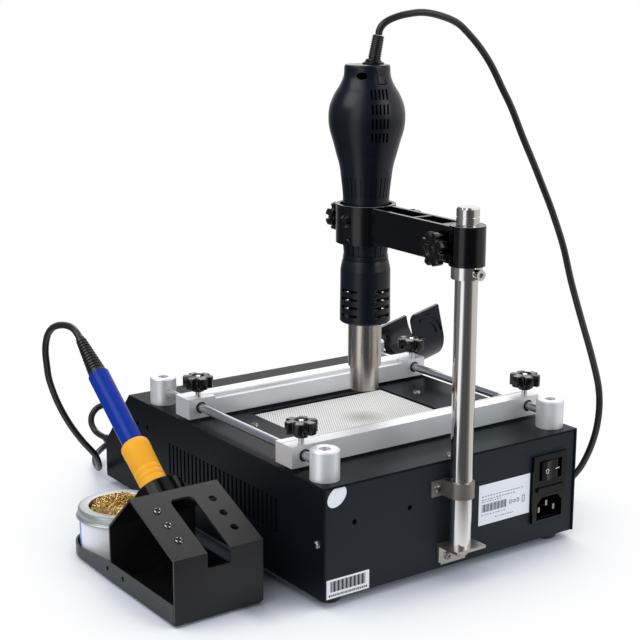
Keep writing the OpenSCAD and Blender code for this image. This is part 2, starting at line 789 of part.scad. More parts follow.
module rod_bracket() {
    color([0.72, 0.72, 0.74]) difference() {
        union() {
            translate([bracket_x - bracket_w / 2, y_panel, rod_z - bracket_t])
                cube([bracket_w, rod_y + rod_d / 2 + 3 - y_panel, bracket_t]);
            translate([bracket_x - bracket_w / 2, y_panel, rod_z - bracket_h])
                cube([bracket_w, bracket_t, bracket_h]);
        }
        for (x = [-1, 1]) {
            on_rear(bracket_x + 5 * x, z_low + 8.5) bore(screw_hole, 8);
            translate([bracket_x + x * bracket_w / 2, y_panel + 1, rod_z - bracket_h]) rotate([90, 45, 0])
                bore(5, 8, $fn = 4);
        }
    }
}

module rod_clip() {
    strap_r = rod_d / 2 + fit + clip_t;
    color([0.72, 0.72, 0.74]) translate([0, 0, clip_z]) difference() {
        union() {
            translate([rod_x, rod_y, 0]) cylinder(r = strap_r, h = clip_h);
            translate([rod_x - 3, y_panel, 0]) cube([clip_tab + 3 + 5, clip_t, clip_h]);
            translate([rod_x - strap_r, y_panel, 0]) cube([2 * strap_r, rod_y - y_panel, clip_h]);
        }
        translate([rod_x, rod_y, -cut]) cylinder(d = rod_d + 2 * fit, h = clip_h + 2 * cut);
        translate([rod_x - rod_d / 2 - fit, y_panel + clip_t, -cut])
            cube([rod_d + 2 * fit, rod_y - y_panel - clip_t, clip_h + 2 * cut]);
        translate([rod_x + clip_tab, y_panel, clip_h / 2]) rotate([90, 0, 0]) bore(screw_hole, 8);
    }
}

module upright_rod() {
    color([0.8, 0.8, 0.8]) translate([rod_x, rod_y, 0]) {
        translate([0, 0, rod_z]) difference() {
            cylinder(d = rod_d, h = rod_l - cap_h);
            translate([0, 0, -cut]) cylinder(d = rod_d - 3, h = rod_l - cap_h - 2);
        }
        rotate_extrude() polygon([[0, rod_top - cap_h], [rod_d / 2 - 0.5, rod_top - cap_h],
            [rod_d / 2 - 0.5, rod_top - cap_h + 0.5], [rod_d / 2, rod_top - cap_h + 0.7],
            [rod_d / 2, rod_top - 1.2], [rod_d / 2 - 1, rod_top], [0, rod_top]]);
    }
}

module stop_collar() {
    color([0.7, 0.7, 0.72]) at_rod() translate([0, 0, z_arm_low - clear / 2 - collar_h]) {
        difference() {
            cylinder(d = collar_d, h = collar_h);
            translate([0, 0, -cut]) cylinder(d = rod_d + 2 * fit, h = collar_h + 2 * cut);
            translate([0, 0, collar_h / 2]) rotate([-90, 0, 0]) cylinder(d = 4.2, h = collar_d);
        }
        translate([0, rod_d / 2 + 0.4, collar_h / 2]) rotate([-90, 0, 0]) difference() {
            union() {
                cylinder(d = 4, h = collar_d / 2 - rod_d / 2 + 1);
                translate([0, 0, collar_d / 2 - rod_d / 2]) cylinder(d = 7, h = 4.2);
            }
            translate([0, 0, collar_d / 2 - rod_d / 2 + 2]) cylinder(d = 3.6, h = 4, $fn = 6);
        }
    }
}

// One star knob standing on the ground of its own frame, with a stud below it
module star_knob(d, h, stud, stud_l) {
    lobes = 6;
    difference() {
        union() {
            cylinder(r = d * 0.34, h = h);
            translate([0, 0, -1.6]) cylinder(r = d * 0.2, h = 2);
            for (i = [0:lobes - 1]) rotate([0, 0, 360 * i / lobes]) {
                translate([d * 0.36, 0, h * 0.12]) cylinder(r = d * 0.14, h = h * 0.8, $fn = 24);
                translate([0, -d * 0.13, h * 0.12]) cube([d * 0.36, d * 0.26, h * 0.8]);
            }
        }
        translate([0, 0, h - 1.6]) cylinder(r = d * 0.2, h = 3);
    }
    translate([0, 0, h - 1.8]) cylinder(d = stud + 0.5, h = 1.2);
    translate([0, 0, -stud_l]) cylinder(d = stud, h = stud_l + 0.5);
}

// Scalloped hand knob, standing and studded in the same way
module hand_knob(d, h, stud, stud_l) {
    scallops = 8;
    difference() {
        union() {
            cylinder(r = d * 0.38, h = h);
            translate([0, 0, h * 0.12]) cylinder(d = d, h = h * 0.78);
            translate([0, 0, -1.6]) cylinder(r = d * 0.2, h = 2);
        }
        for (i = [0:scallops - 1]) rotate([0, 0, 360 * i / scallops])
            translate([d * 0.53, 0, h * 0.12 - cut]) cylinder(r = d * 0.1, h = h * 0.78 + 2 * cut);
        translate([0, 0, h - 1.6]) cylinder(r = d * 0.2, h = 3);
    }
    translate([0, 0, h - 1.8]) cylinder(d = stud + 0.5, h = 1.2);
    translate([0, 0, -stud_l]) cylinder(d = stud, h = stud_l + 0.5);
}

module clamp_knob(x, y) {
    color([0.06, 0.06, 0.06]) translate([x * post_x, y + stud_off, knob_z])
        star_knob(knob_d, knob_h, stud_d, knob_z - stud_z);
}

// Clamp bar along X; side is the direction of the board's ledge
module clamp_bar(y, side) {
    color([0.82, 0.82, 0.83]) translate([0, y, 0]) difference() {
        translate([0, 0, z_bar]) slab(bar_l, bar_d, bar_h);
        translate([0, side * (bar_d / 2 - ledge_w / 2), z_bar + bar_h - ledge_h])
            slab(bar_l - 2 * ledge_in, ledge_w, ledge_h + cut);
        translate([0, side * (bar_d / 2 - ledge_w - 1.5), z_bar + bar_h - 0.8])
            slab(bar_l + 2 * cut, groove_w, 2);
        for (x = [-1, 1]) {
            translate([x * post_x, 0, z_guide]) rotate([90, 0, 0]) bore(guide_d + 2 * fit, bar_d + 2);
            translate([x * post_x, stud_off, z_guide]) cylinder(d = stud_d + 4 * fit, h = bar_h);
        }
    }
}

module gun_arm() {
    plate_x = arm_w / 2 - arm_t;
    ring_y = -arm_l;
    z_low_arm = arm_z - arm_h / 2;
    color([0.05, 0.05, 0.05]) at_rod() difference() {
        union() {
            translate([0, 0, z_arm_low]) cylinder(d = clamp_d, h = clamp_h);
            for (x = [-1, 1]) translate([x > 0 ? plate_x : -arm_w / 2, ring_y, z_low_arm])
                cube([arm_t, arm_l, arm_h]);
            translate([0, (web_y - 3) / 2, arm_z]) translate([0, 0, -1.5]) slab(arm_w - 2, -web_y + 3, 3);
            translate([-plate_x - 0.1, web_y - 3, z_low_arm]) cube([2 * plate_x + 0.2, 3, arm_h]);
            translate([-plate_x - 0.1, -clamp_d / 2 - 6, z_low_arm]) cube([2 * plate_x + 0.2, 7, arm_h]);
            translate([0, ring_y, z_ring - ring_h / 2]) cylinder(d = ring_d, h = ring_h);
            translate([-arm_w / 2, ring_y, z_ring - ring_h / 2 + 3])
                cube([arm_w, ring_d / 2 + 4, arm_h - 5]);
            translate([0, ring_y - ring_d / 2 - 1, z_ring]) rotate([90, 0, 0]) bore(11, 6);
            // Boss on the ring's side
            translate([0, ring_y, z_ring + 3]) rotate([0, 0, 14]) rotate([0, 90, 0]) rotate_extrude()
                polygon([[0, 0], [4.5, 0], [4.5, ring_d / 2 + 0.6], [3, ring_d / 2 + 2.4],
                    [0, ring_d / 2 + 3]]);
        }
        translate([0, 0, z_arm_low - cut]) cylinder(d = rod_d + 2 * fit, h = clamp_h + 2 * cut);
        translate([0, ring_y, z_ring - ring_h]) cylinder(d = ring_d - 2 * ring_t, h = 2 * ring_h);
        translate([0, knob_bolt_y, arm_z - knob_drop]) rotate([0, 90, 0]) bore(bolt_d + 4 * fit, 60);
        // Blind, so that the ring's bolt bites in the far plate
        translate([-arm_w, ring_bolt_y, arm_z]) rotate([0, 90, 0])
            cylinder(d = bolt_d + 4 * fit, h = 1.5 * arm_w - arm_t / 2);
        translate([0, ring_y - ring_d / 2, z_ring]) rotate([90, 0, 0]) bore(bolt_d + 4 * fit, 30);
        translate([arm_w / 2 - 6, clamp_d / 2 - 12, z_arm_low - cut]) cube([14, 1, clamp_h + 2 * cut]);
    }
    // Pads that centre the handle in the ring
    color([0.05, 0.05, 0.05]) at_rod() translate([0, ring_y, z_ring]) for (a = [30, 150, 210, 330])
        rotate([0, 0, a]) intersection() {
            translate([0, -3, -7]) cube([ring_d / 2 - ring_t + 0.4, 6, 14]);
            difference() {
                bore(ring_d - 2 * ring_t + 0.6, 14);
                bore(neck_d + 2 * fit, 16);
            }
        }
}

// Nut at the far end of a knob's bolt
module side_nut() {
    translate([0, 0, -arm_w - washer_gap - nut_h - clear]) cylinder(d = 2 * bolt_d, h = nut_h, $fn = 6);
}

module rod_knob() {
    color([0.05, 0.05, 0.05]) at_rod() translate([arm_w / 2 + washer_gap, knob_bolt_y, arm_z - knob_drop])
        rotate([0, 90, 0]) {
            hand_knob(side_knob_d, side_knob_h, bolt_d, arm_w + 6.5);
            side_nut();
        }
}
module ring_knob() {
    color([0.05, 0.05, 0.05]) at_rod() translate([-arm_w / 2 - washer_gap, ring_bolt_y, arm_z])
        rotate([0, -90, 0]) hand_knob(side_knob_d, side_knob_h, bolt_d, arm_w + washer_gap - 2);
}
module nose_knob() {
    color([0.05, 0.05, 0.05]) at_rod() translate([0, -arm_l - ring_d / 2 - 6, z_ring]) rotate([90, 0, 0])
        hand_knob(side_knob_d - 2, side_knob_h + 2, bolt_d, ring_d / 2 + 6 - neck_d / 2 - clear);
}

// Stations of the handle's outline, each [height above the ring's middle, radius]
gun_stations = [[-25.5, neck_d / 2 - 1], [-16, neck_d / 2 - 0.4], [-13.5, neck_d / 2], [13.5, neck_d / 2],
    [20, neck_d / 2 + 0.1], [31, neck_d / 2 + 1.3], [40, neck_d / 2 + 2.6], [48, neck_d / 2 + 4.8],
    [57, gun_d / 2 - 3.1], [65, gun_d / 2 - 0.8], [73, gun_d / 2], [81, gun_d / 2 - 0.8],
    [89, gun_d / 2 - 4], [95, crown_d / 2 + 3], [101, crown_d / 2 + 0.5], [107, crown_d / 2]];

module gun_handle() {
    outer = [for (p = smooth(gun_stations, 3)) [p[1], p[0]]];
    inner = [for (p = smooth([for (s = gun_stations) [s[0], s[1] - gun_wall]], 3)) [p[1], p[0]]];
    color([0.13, 0.13, 0.15]) at_gun() translate([0, 0, z_ring]) difference() {
        union() {
            rotate_extrude() polygon(concat(outer, [for (i = [len(inner) - 1:-1:0]) inner[i]]));
            // Crown that closes the upper end
            translate([0, 0, 105.6]) cylinder(d = crown_d, h = 3.4);
            // Bulkhead and motor boss that carry the fan
            translate([0, 0, bulkhead_z]) cylinder(r = gun_d / 2 - 4.4, h = 2.5);
            translate([0, 0, bulkhead_z]) cylinder(r = 6, h = fan_z - bulkhead_z - 1);
            translate([0, 0, bulkhead_z])
                cylinder(d = fan_shaft, h = fan_z + fan_hub - 1 - clear - bulkhead_z);
        }
        for (a = [0:60:300]) rotate([0, 0, a]) translate([13.5, 0, bulkhead_z]) bore(9, 12);
        for (row = [0:3], i = [-2:2])
            rotate([0, 0, vent_face_a + i * 9])
                translate([gun_d / 2 - 12, -louvre_w / 2, bulkhead_z - 0.5 + row * louvre_pitch])
                    cube([20, louvre_w, louvre_h]);
        rotate([0, 0, vent_face_a]) translate([gun_d / 2 - 8.6, -5, 97]) cube([4, 8, 5]);
        rotate([0, 0, 40]) translate([crown_d / 2 + 0.4, 0, 101]) rotate([0, 90, 0]) bore(5, 2.6);
    }
}

module gun_relief() {
    ribs = 7;
    rib_pitch = (relief_l - 5) / ribs;
    flange_r = relief_d / 2 + 3.4;
    color([0.06, 0.06, 0.06]) at_gun() translate([0, 0, z_crown])
        rotate([0, 0, relief_a]) translate([relief_off, 0, 0]) {
            rotate_extrude() polygon([[0, 0], [flange_r, 0], [flange_r, crown_disc],
                [relief_d / 2 + 0.3, crown_disc + 2.3], [0, crown_disc + 2.3]]);
            rotate([0, relief_lean, 0]) {
                translate([0, 0, crown_disc]) cylinder(d = relief_d - 2.6, h = relief_l - crown_disc);
                for (i = [0:ribs - 1]) translate([0, 0, 4.6 + i * rib_pitch])
                    cylinder(d = relief_d - 0.16 * i, h = rib_pitch - 1);
            }
        }
}

module gun_guard() {
    slots = 4;
    guard_wall = 2.4;
    r = guard_d / 2;
    color([0.12, 0.12, 0.14]) at_gun() difference() {
        rotate_extrude() polygon([[r, z_guard_low + 1], [r - 0.3, z_guard_top - 7],
            [r - 1.2, z_guard_top - 2.4], [neck_d / 2 - 0.2, z_guard_top],
            [barrel_d / 2 + fit, z_guard_top], [barrel_d / 2 + fit, z_guard_top - 6],
            [r - guard_wall, z_guard_top - 8.4],
            [r - guard_wall, z_guard_low], [r - 1, z_guard_low]]);
        for (row = [0:3], k = [0:slots - 1]) rotate([0, 0, guard_slot_a + k * 360 / slots])
            translate([0, 0, z_guard_low + 5 + row * 5.9]) linear_extrude(2.4)
                polygon(concat([[0, 0]], arc(r + 4, -25, 25, 4)));
    }
}

module gun_barrel() {
    color([0.75, 0.74, 0.72]) at_gun() difference() {
        translate([0, 0, z_barrel_low]) cylinder(d = barrel_d, h = z_guard_top + 3 - z_barrel_low);
        translate([0, 0, z_barrel_low - cut])
            cylinder(d = nozzle_d + 2 * fit, h = z_guard_top - z_barrel_low);
        translate([0, 0, z_barrel_low]) difference() {
            cylinder(d = barrel_d + 2, h = 0.8);
            translate([0, 0, -cut]) cylinder(d = barrel_d - 0.7, h = 4);
        }
    }
}

module gun_nozzle() {
    nozzle_wall = 1;
    color([0.75, 0.74, 0.72]) at_gun() rotate_extrude()
        translate([nozzle_d / 2 - nozzle_wall, z_tip]) square([nozzle_wall, nozzle_l + nozzle_grip]);
}

module gun_fan() {
    blades = 9;
    blade_t = 1.2;
    hub_r = 7.5;
    color([0.2, 0.2, 0.22]) at_gun() translate([0, 0, z_ring + fan_z]) difference() {
        union() {
            cylinder(r = hub_r, h = fan_hub);
            cylinder(d = fan_d, h = blade_t);
            for (i = [0:blades - 1]) rotate([0, 0, 360 * i / blades])
                translate([hub_r - 1.5, -blade_t / 2, 0]) rotate([0, 0, 12])
                    cube([fan_d / 2 - hub_r + 0.7, blade_t, fan_hub - 1]);
        }
        translate([0, 0, -cut]) cylinder(d = fan_shaft + 2 * fit, h = fan_hub);
    }
}

// Saddle on the chassis side, tilted outwards, with one tall cheek and one low one
module gun_cradle() {
    x0 = -body_w / 2;
    r_out = cradle_r + cradle_wall;
    color([0.1, 0.1, 0.1]) {
        difference() {
            translate([x0 - 4, cradle_y - 27, z_low + 34]) cube([4, 54, body_h - 26]);
            for (y = [-19, 19], z = [z_low + 40, z_low + 58])
                translate([x0 - 4, cradle_y + y, z]) rotate([0, 90, 0]) bore(4, 3);
        }
        translate([x0 - cradle_out, cradle_y, cradle_z]) rotate([0, cradle_tilt - 90, 0]) {
            difference() {
                union() {
                    cylinder(r = r_out, h = cradle_d);
                    translate([0, cradle_r, 0]) cube([cradle_near, cradle_wall, cradle_d]);
                    translate([0, -r_out, 0]) cube([cradle_far, cradle_wall, cradle_d]);
                }
                translate([0, 0, 9]) cylinder(r = cradle_r, h = cradle_d);
                translate([0, 0, 4]) cylinder(r = cradle_r - 3, h = cradle_d);
                translate([0, 0, -cut]) cylinder(r = cradle_r - 6, h = cradle_d);
                translate([0, -cradle_r, -cut]) cube([cradle_r * 2, 2 * cradle_r, cradle_d + 2 * cut]);
                translate([cradle_far, -r_out - cut, -cut])
                    cube([cradle_near, cradle_wall + 2 * cut, cradle_d + 2 * cut]);
                corner_cut(cradle_near, cradle_r - cut, 0, 6);
            }
            // Curved ribs on the tall cheek's outer face
            for (r = [15, 20]) translate([3, r_out, 8]) rotate([-90, 0, 0]) intersection() {
                difference() {
                    cylinder(r = r + 1, h = 1.2);
                    translate([0, 0, -cut]) cylinder(r = r - 1, h = 4);
                }
                translate([0, -20, -cut]) cube([18, 20, 4]);
            }
        }
        // Web between the saddle and the plate
        translate([x0 - cradle_out - 16, cradle_y - 14, z_low + 52]) cube([cradle_out + 16, 28, 22]);
    }
}
// Cuts the sharp corner of a cheek to a round one
module corner_cut(x, y, z, r) {
    translate([x - r, y, z]) difference() {
        translate([0, 0, -cut]) cube([r + cut, 12, r + cut]);
        translate([0, -cut, r]) rotate([-90, 0, 0]) cylinder(r = r, h = 20);
    }
}

module gun_gland() {
    color([0.06, 0.06, 0.06]) on_front(gland_x, gland_z) {
        translate([0, 0, -3]) cylinder(d = gland_d - 4 - 2 * fit, h = 4);
        cylinder(d = gland_d, h = 4);
        translate([0, 0, 4]) cylinder(d1 = gland_d - 2, d2 = gun_cord_d + 2.4, h = gland_l - 4);
    }
}

module iron_socket() {
    color([0.65, 0.65, 0.67]) on_front(socket_x, socket_z) difference() {
        union() {
            translate([0, 0, -8]) cylinder(d = socket_d - 3 - 2 * fit, h = 9);
            cylinder(d = socket_d, h = 3);
        }
        translate([0, 0, -6]) cylinder(d = plug_d - 3 + 2 * fit, h = 12);
    }
}

module iron_plug() {
    color([0.1, 0.1, 0.1]) on_front(socket_x, socket_z) {
        translate([0, 0, -5]) cylinder(d = plug_d - 3, h = 9);
        translate([0, 0, 3]) cylinder(d = plug_d, h = plug_l - 12);
        translate([0, 0, plug_l - 9]) cylinder(d1 = plug_d - 3, d2 = iron_cord_d + 2, h = 10.5);
    }
}

module gun_cord() {
    color([0.07, 0.07, 0.07]) cord(smooth(gun_route, 2), gun_cord_d);
}
module iron_cord() {
    color([0.07, 0.07, 0.07]) cord(smooth(iron_route, 2), iron_cord_d);
}

// Outline of the tray up to its front: sides that run in to a round tail
module tray_outline(grow, front) {
    half = stand_w / 2 + grow;
    translate([stand_xc, 0]) union() {
        polygon([[-half, front], [half, front], [half, house_back], [tail_r + grow, tin_y],
            [-tail_r - grow, tin_y], [-half, house_back]]);
        translate([0, tin_y]) circle(tail_r + grow, $fn = 96);
    }
}

module stand_tray() {
    front = stand_y - stand_sheet - clear;
    corner = 2;
    color([0.08, 0.08, 0.09]) {
        difference() {
            translate([0, 0, tray_foot]) linear_extrude(lip_tray) tray_outline(0, front);
            translate([0, 0, z_tray]) linear_extrude(lip_tray) tray_outline(-stand_sheet, front + cut);
            // The lip runs down to a low one round the tin
            translate([stand_xc - stand_w, 0, 0]) rotate([90, 0, 90]) linear_extrude(2 * stand_w)
                polygon([[tin_y - stand_w, z_tray + tail_lip], [tin_y, z_tray + tail_lip],
                    [house_back, z_lip_top], [house_back, z_lip_top + cut],
                    [tin_y - stand_w, z_lip_top + cut]]);
            for (y = [stand_y - 68.5, stand_y - 90]) translate([stand_xc + stand_w / 2, y, tray_foot + 7.5])
                rotate([0, 90, 0]) bore(3.4, 8);
        }
        // Floor under the housing's front sheet
        translate([stand_xc, front - cut, tray_foot]) linear_extrude(stand_sheet)
            polygon([[-stand_w / 2, 0], [stand_w / 2, 0], [stand_w / 2, cut],
                [stand_w / 2 - corner, cut + stand_sheet], [corner - stand_w / 2, cut + stand_sheet],
                [-stand_w / 2, cut]]);
    }
}

// Left-hand normal of the line from a to b
function normal(a, b) = let (d = unit(b - a)) [-d[1], d[0]];
// Point of the bent line p moved by t to its left, with mitred bends
function bent(p, i, t) = i == 0 ? p[0] + t * normal(p[0], p[1]) :
    i == len(p) - 1 ? p[i] + t * normal(p[i - 1], p[i]) :
    let (m = normal(p[i - 1], p[i]), n = normal(p[i], p[i + 1])) p[i] + t * (m + n) / (1 + m * n);

// One bent sheet, open at both sides: front, sloped top, sloped rear and rear sheet
module stand_housing() {
    line = [[stand_y, z_tray], [stand_y, house_front], [ridge_y, house_ridge],
        [house_back, house_rear], [house_back, z_tray]];
    side_gap = stand_sheet + clear;
    color([0.08, 0.08, 0.09]) difference() {
        translate([stand_xc - stand_w / 2, 0, 0]) rotate([90, 0, 90]) linear_extrude(stand_w)
            polygon(concat(line, [for (i = [len(line) - 1:-1:0]) bent(line, i, stand_sheet)]));
        // Slot over the iron's tip, running down into the front sheet
        translate([stand_xc, 0, house_front - notch_h]) linear_extrude(60) union() {
            translate([-slot_w / 2, ridge_y + slot_in + slot_r]) square([slot_w, house_d]);
            translate([slot_r - slot_w / 2, ridge_y + slot_in]) square([slot_w - 2 * slot_r, house_d]);
            for (x = [-1, 1])
                translate([x * (slot_w / 2 - slot_r), ridge_y + slot_in + slot_r]) circle(slot_r);
        }
        for (x = [-1, 1], i = [-1:1])
            translate([stand_xc + x * tip_x, (ridge_y + stand_y) / 2 + i * tip_pitch, house_front])
                bore(tip_hole_d + 0.4, 80);
        along_iron() bore(nose_bore + 2 * (cup_play + cup_nose + clear), 60);
        // The rear sheet stands between the tray's lips
        for (x = [-1, 1]) translate([stand_xc + x * stand_w / 2, house_back, z_tray - cut])
            slab(2 * side_gap, 6 * stand_sheet, lip_tray);
    }
}

module stand_cup() {
    r = cup_d / 2;
    throat = nose_bore / 2 + cup_play;
    seat_r = r - cup_wall - cup_ledge;
    color([0.05, 0.05, 0.05]) {
        difference() {
            along_iron() rotate_extrude() polygon([[throat, -3], [r, -3], [r, cup_l - 1], [r - 1, cup_l],
                [r - cup_wall, cup_l], [r - cup_wall, iron_seat], [seat_r, iron_seat], [throat, 6]]);
            // Foot cut flat where it stands on the sloped rear
            translate([stand_xc, ridge_y, house_ridge]) rotate([slope_rear, 0, 0])
                translate([-r - 5, -80, -40]) cube([2 * r + 10, 120, 40]);
        }
        // Nose that centres the cup in the hole
        along_iron() translate([0, 0, -4]) difference() {
            cylinder(r = throat + cup_nose, h = 10);
            translate([0, 0, -cut]) cylinder(r = throat, h = 12);
        }
    }
}

module spare_tips() {
    color([0.78, 0.78, 0.78]) for (i = [-1:1])
        translate([stand_xc + tip_x, (ridge_y + stand_y) / 2 + i * tip_pitch,
            house_front + (house_ridge - house_front) * (0.5 - i * tip_pitch / (stand_y - ridge_y))])
            rotate([-slope_house, 0, 0]) difference() {
                union() {
                    translate([0, 0, -14]) cylinder(d = tip_hole_d - 0.8, h = 14.4);
                    translate([0, 0, 0.3]) cylinder(d = tip_hole_d + 1, h = 0.9);
                }
                translate([0, 0, -2]) cylinder(d = 2.6, h = 8);
            }
}

module cleaning_tin() {
    r = tin_d / 2;
    body_r = r - 0.8;
    color([0.8, 0.8, 0.8]) translate([stand_xc, tin_y, z_tray]) rotate_extrude() polygon([[0, 0],
        [body_r, 0], [body_r, tin_h - tin_lid - 0.6], [r + tin_bead - 0.6, tin_h - tin_lid - 0.6],
        [r + tin_bead, tin_h - tin_lid], [r + tin_bead - 0.5, tin_h - tin_lid + 0.8],
        [r, tin_h - tin_lid + 1.6], [r, tin_h - 1], [r - 1, tin_h], [r - tin_rim, tin_h],
        [r - tin_rim, tin_h - 1], [r - 2, tin_h - 1], [r - 2, 1], [0, 1]]);
}

module brass_wool() {
    r = tin_d / 2;
    dome_r = r - tin_rim - 0.6;
    color([0.8, 0.62, 0.25]) translate([stand_xc, tin_y, z_tray]) rotate_extrude()
        polygon([[0, 1], [r - 2.6, 1], [r - 2.6, tin_h - 3], [dome_r, tin_h - 1.8], [dome_r, tin_h],
            [dome_r - 4, tin_h + 4], [dome_r - 10, tin_h + 6], [0, tin_h + 7]]);
}

// Moulded grip with the flange that seats in the cup
module iron_grip() {
    flange_r = cup_d / 2 - cup_wall - 1;
    barrel_hole = barrel_r + fit;
    color([0.95, 0.62, 0.1]) along_iron() translate([0, 0, z_iron]) rotate_extrude()
        polygon([[barrel_hole, 0], [flange_r, 0], [flange_r, 1.6], [grip_d / 2 - 0.8, 4.5],
            [grip_d / 2, 12], [grip_d / 2, grip_l - 6], [grip_d / 2 - 0.8, grip_l],
            [iron_d / 2 + fit, grip_l], [iron_d / 2 + fit, grip_nose], [barrel_hole, grip_nose]]);
}
module iron_tube() {
    color([0.1, 0.2, 0.6]) along_iron() translate([0, 0, z_iron + grip_nose]) difference() {
        cylinder(d = iron_d, h = iron_l + grip_l - grip_nose);
        translate([0, 0, -cut]) cylinder(d = iron_d - 2 * tube_wall, h = iron_l + grip_l);
    }
}
module iron_relief() {
    ribs = 9;
    rib_pitch = (relief_iron_l - 6) / ribs;
    plug_r = iron_d / 2 - tube_wall - fit;
    color([0.06, 0.06, 0.06]) along_iron() translate([0, 0, z_iron + grip_l + iron_l]) {
        cylinder(d1 = iron_d - 3, d2 = iron_cord_d + 2.4, h = relief_iron_l);
        translate([0, 0, -6]) cylinder(r = plug_r, h = 6.1);
        for (i = [0:ribs - 1])
            translate([0, 0, 1.5 + i * rib_pitch])
                cylinder(d = iron_d - 1.6 - 0.5 * i, h = rib_pitch - 1.5);
    }
}
module iron_barrel() {
    z_point = cup_l - tip_l;
    z_hip = z_iron - 38;
    color([0.75, 0.75, 0.75]) along_iron() rotate_extrude()
        polygon([[0, z_point], [0.6, z_point], [3.2, z_point + 14], [3.2, z_hip], [barrel_r, z_hip + 0.5],
            [barrel_r, z_iron + grip_nose], [0, z_iron + grip_nose]]);
}

base_tray();
casing_cover();
front_panel();
rear_panel();
rubber_feet();
heater_pan();
heater_tubes();
ceramic_plate();
transformer();
control_board();
display_windows();
corner_posts();
guide_rods();
steel_screws();
inlet_module();
inlet_pins();
rod_bracket();
rod_clip();
upright_rod();
stop_collar();
gun_cradle();
gun_gland();
iron_socket();
gun_cord();
stand_tray();
stand_housing();
stand_cup();
spare_tips();
cleaning_tin();
brass_wool();
clamp_bar(bar_rear_y, -1);  // rear_clamp_bar
clamp_bar(bar_front_y, 1);  // front_clamp_bar
clamp_knob(1, bar_rear_y);  // clamp_knob_1
clamp_knob(-1, bar_rear_y);  // clamp_knob_2
clamp_knob(1, bar_front_y);  // clamp_knob_3
clamp_knob(-1, bar_front_y);  // clamp_knob_4
mains_rocker();
fuse_drawer();
on_slope(dial_x[0], dial_s) dial();  // panel_dial_1
on_slope(dial_x[1], dial_s) dial();  // panel_dial_2
on_slope(dial_x[2], dial_s) dial();  // panel_dial_3
on_slope(dial_x[3], dial_s) dial();  // panel_dial_4
on_slope(switch_x[0], switch_s) panel_switch();  // panel_switch_1
on_slope(switch_x[1], switch_s) panel_switch();  // panel_switch_2
gun_arm();
rod_knob();
ring_knob();
nose_knob();
gun_handle();
gun_relief();
gun_guard();
gun_barrel();
gun_nozzle();
gun_fan();
iron_tube();
iron_grip();
iron_relief();
iron_barrel();
iron_cord();
iron_plug();
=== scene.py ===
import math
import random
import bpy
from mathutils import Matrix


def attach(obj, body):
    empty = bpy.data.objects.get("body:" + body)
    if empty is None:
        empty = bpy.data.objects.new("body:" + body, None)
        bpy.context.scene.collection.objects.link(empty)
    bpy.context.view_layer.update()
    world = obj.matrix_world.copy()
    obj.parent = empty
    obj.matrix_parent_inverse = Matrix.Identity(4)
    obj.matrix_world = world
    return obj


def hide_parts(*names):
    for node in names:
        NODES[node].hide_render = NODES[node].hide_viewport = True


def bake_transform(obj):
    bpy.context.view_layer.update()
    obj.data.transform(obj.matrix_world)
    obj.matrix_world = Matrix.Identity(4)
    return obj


bl_info = {
    "name": "Soldering Rework Station",
    "version": (1, 0, 0),
    "blender": (4, 5, 0),
    "location": "View3D > Sidebar > Rework Station",
    "description": "Finishes and details a bench rework station with a hot-air gun, a board holder and "
                   "an iron stand",
    "category": "Add Mesh",
}

import bpy
from mathutils import Euler, Matrix, Vector

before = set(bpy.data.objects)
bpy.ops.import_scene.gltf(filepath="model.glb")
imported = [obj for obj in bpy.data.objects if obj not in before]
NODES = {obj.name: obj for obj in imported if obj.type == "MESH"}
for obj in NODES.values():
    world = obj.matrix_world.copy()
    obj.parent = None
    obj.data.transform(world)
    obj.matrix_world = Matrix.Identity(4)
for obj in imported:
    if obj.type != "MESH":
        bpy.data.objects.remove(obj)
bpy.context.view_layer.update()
MM = 0.001

# The camera, fitted to the chassis edges in a picture of 640 x 640
PICTURE = 640
FOCAL_PIXELS = 1456.54
SENSOR = 36
CAMERA_AT = (608.5, 847.0, 393.1)
CAMERA_LOOK = (-0.5630, -0.7940, -0.2300)
CAMERA_ROLL = 0.141

# Places on the station, in millimetres of the shared frame
REAR_Y = 147.5
SLOPE_FOOT_Y, SLOPE_FOOT_Z = -148.5, 35
SLOPE_RUN, SLOPE_RISE = 41, 47
SLOPE = math.atan2(SLOPE_RISE, SLOPE_RUN)
DIAL_X = (-66, -18, 18, 66)
DIAL_UP = 18
DISPLAY_X = (-66, 0, 66)
DISPLAY_DOWN = 17
ROCKER = (-84, 57.2)
RATING_LABEL = (-43.5, 42.5)
STRIP_LABEL = (90, 13)
ROUND_SEAL = (99.1, 74.5)

# The board holder: both sides, the posts, the guide rods, the bars and their star knobs
SIDES = (98, -98)
POST_Y = (132.7, -75.1)
POST_SCREW_Z = 100.4
GUIDE_Z = 91.5
BAR_HALF = 9.5
BUSHES = (("RearBushes", "rear_bar", 100.8), ("FrontBushes", "front_bar", -29.5))
STAR_Y = (106.3, -24)
STAR_Z = 104.8

# The rod, the arm and the gun. The crown, the slots and the latch are placed from the ring's middle
ROD = Vector((5, 157.5, 0))
ARM_TURN = math.radians(-2.5)
ARM_TOP = 238.86
GUN = Vector((0.045, 44.007, 0))
RING_Z = 225.5
CROWN_UP = 109.0
HANDLE_STEPS = 120
SLOT_TURN = 64.7
SLOT_ROWS, SLOTS_IN_ROW = 4, 5
SLOT_FIRST = (-1.4, 61)
SLOT_STEP = (2.7, 9.65)
LATCH_TURN = 89
RING_SCREW_Z = 214.4

# Centre of the painted shade on the plate below the gun's nozzle, in metres
NOZZLE_SHADE_SPOT = (-0.004, 0.037, 0)

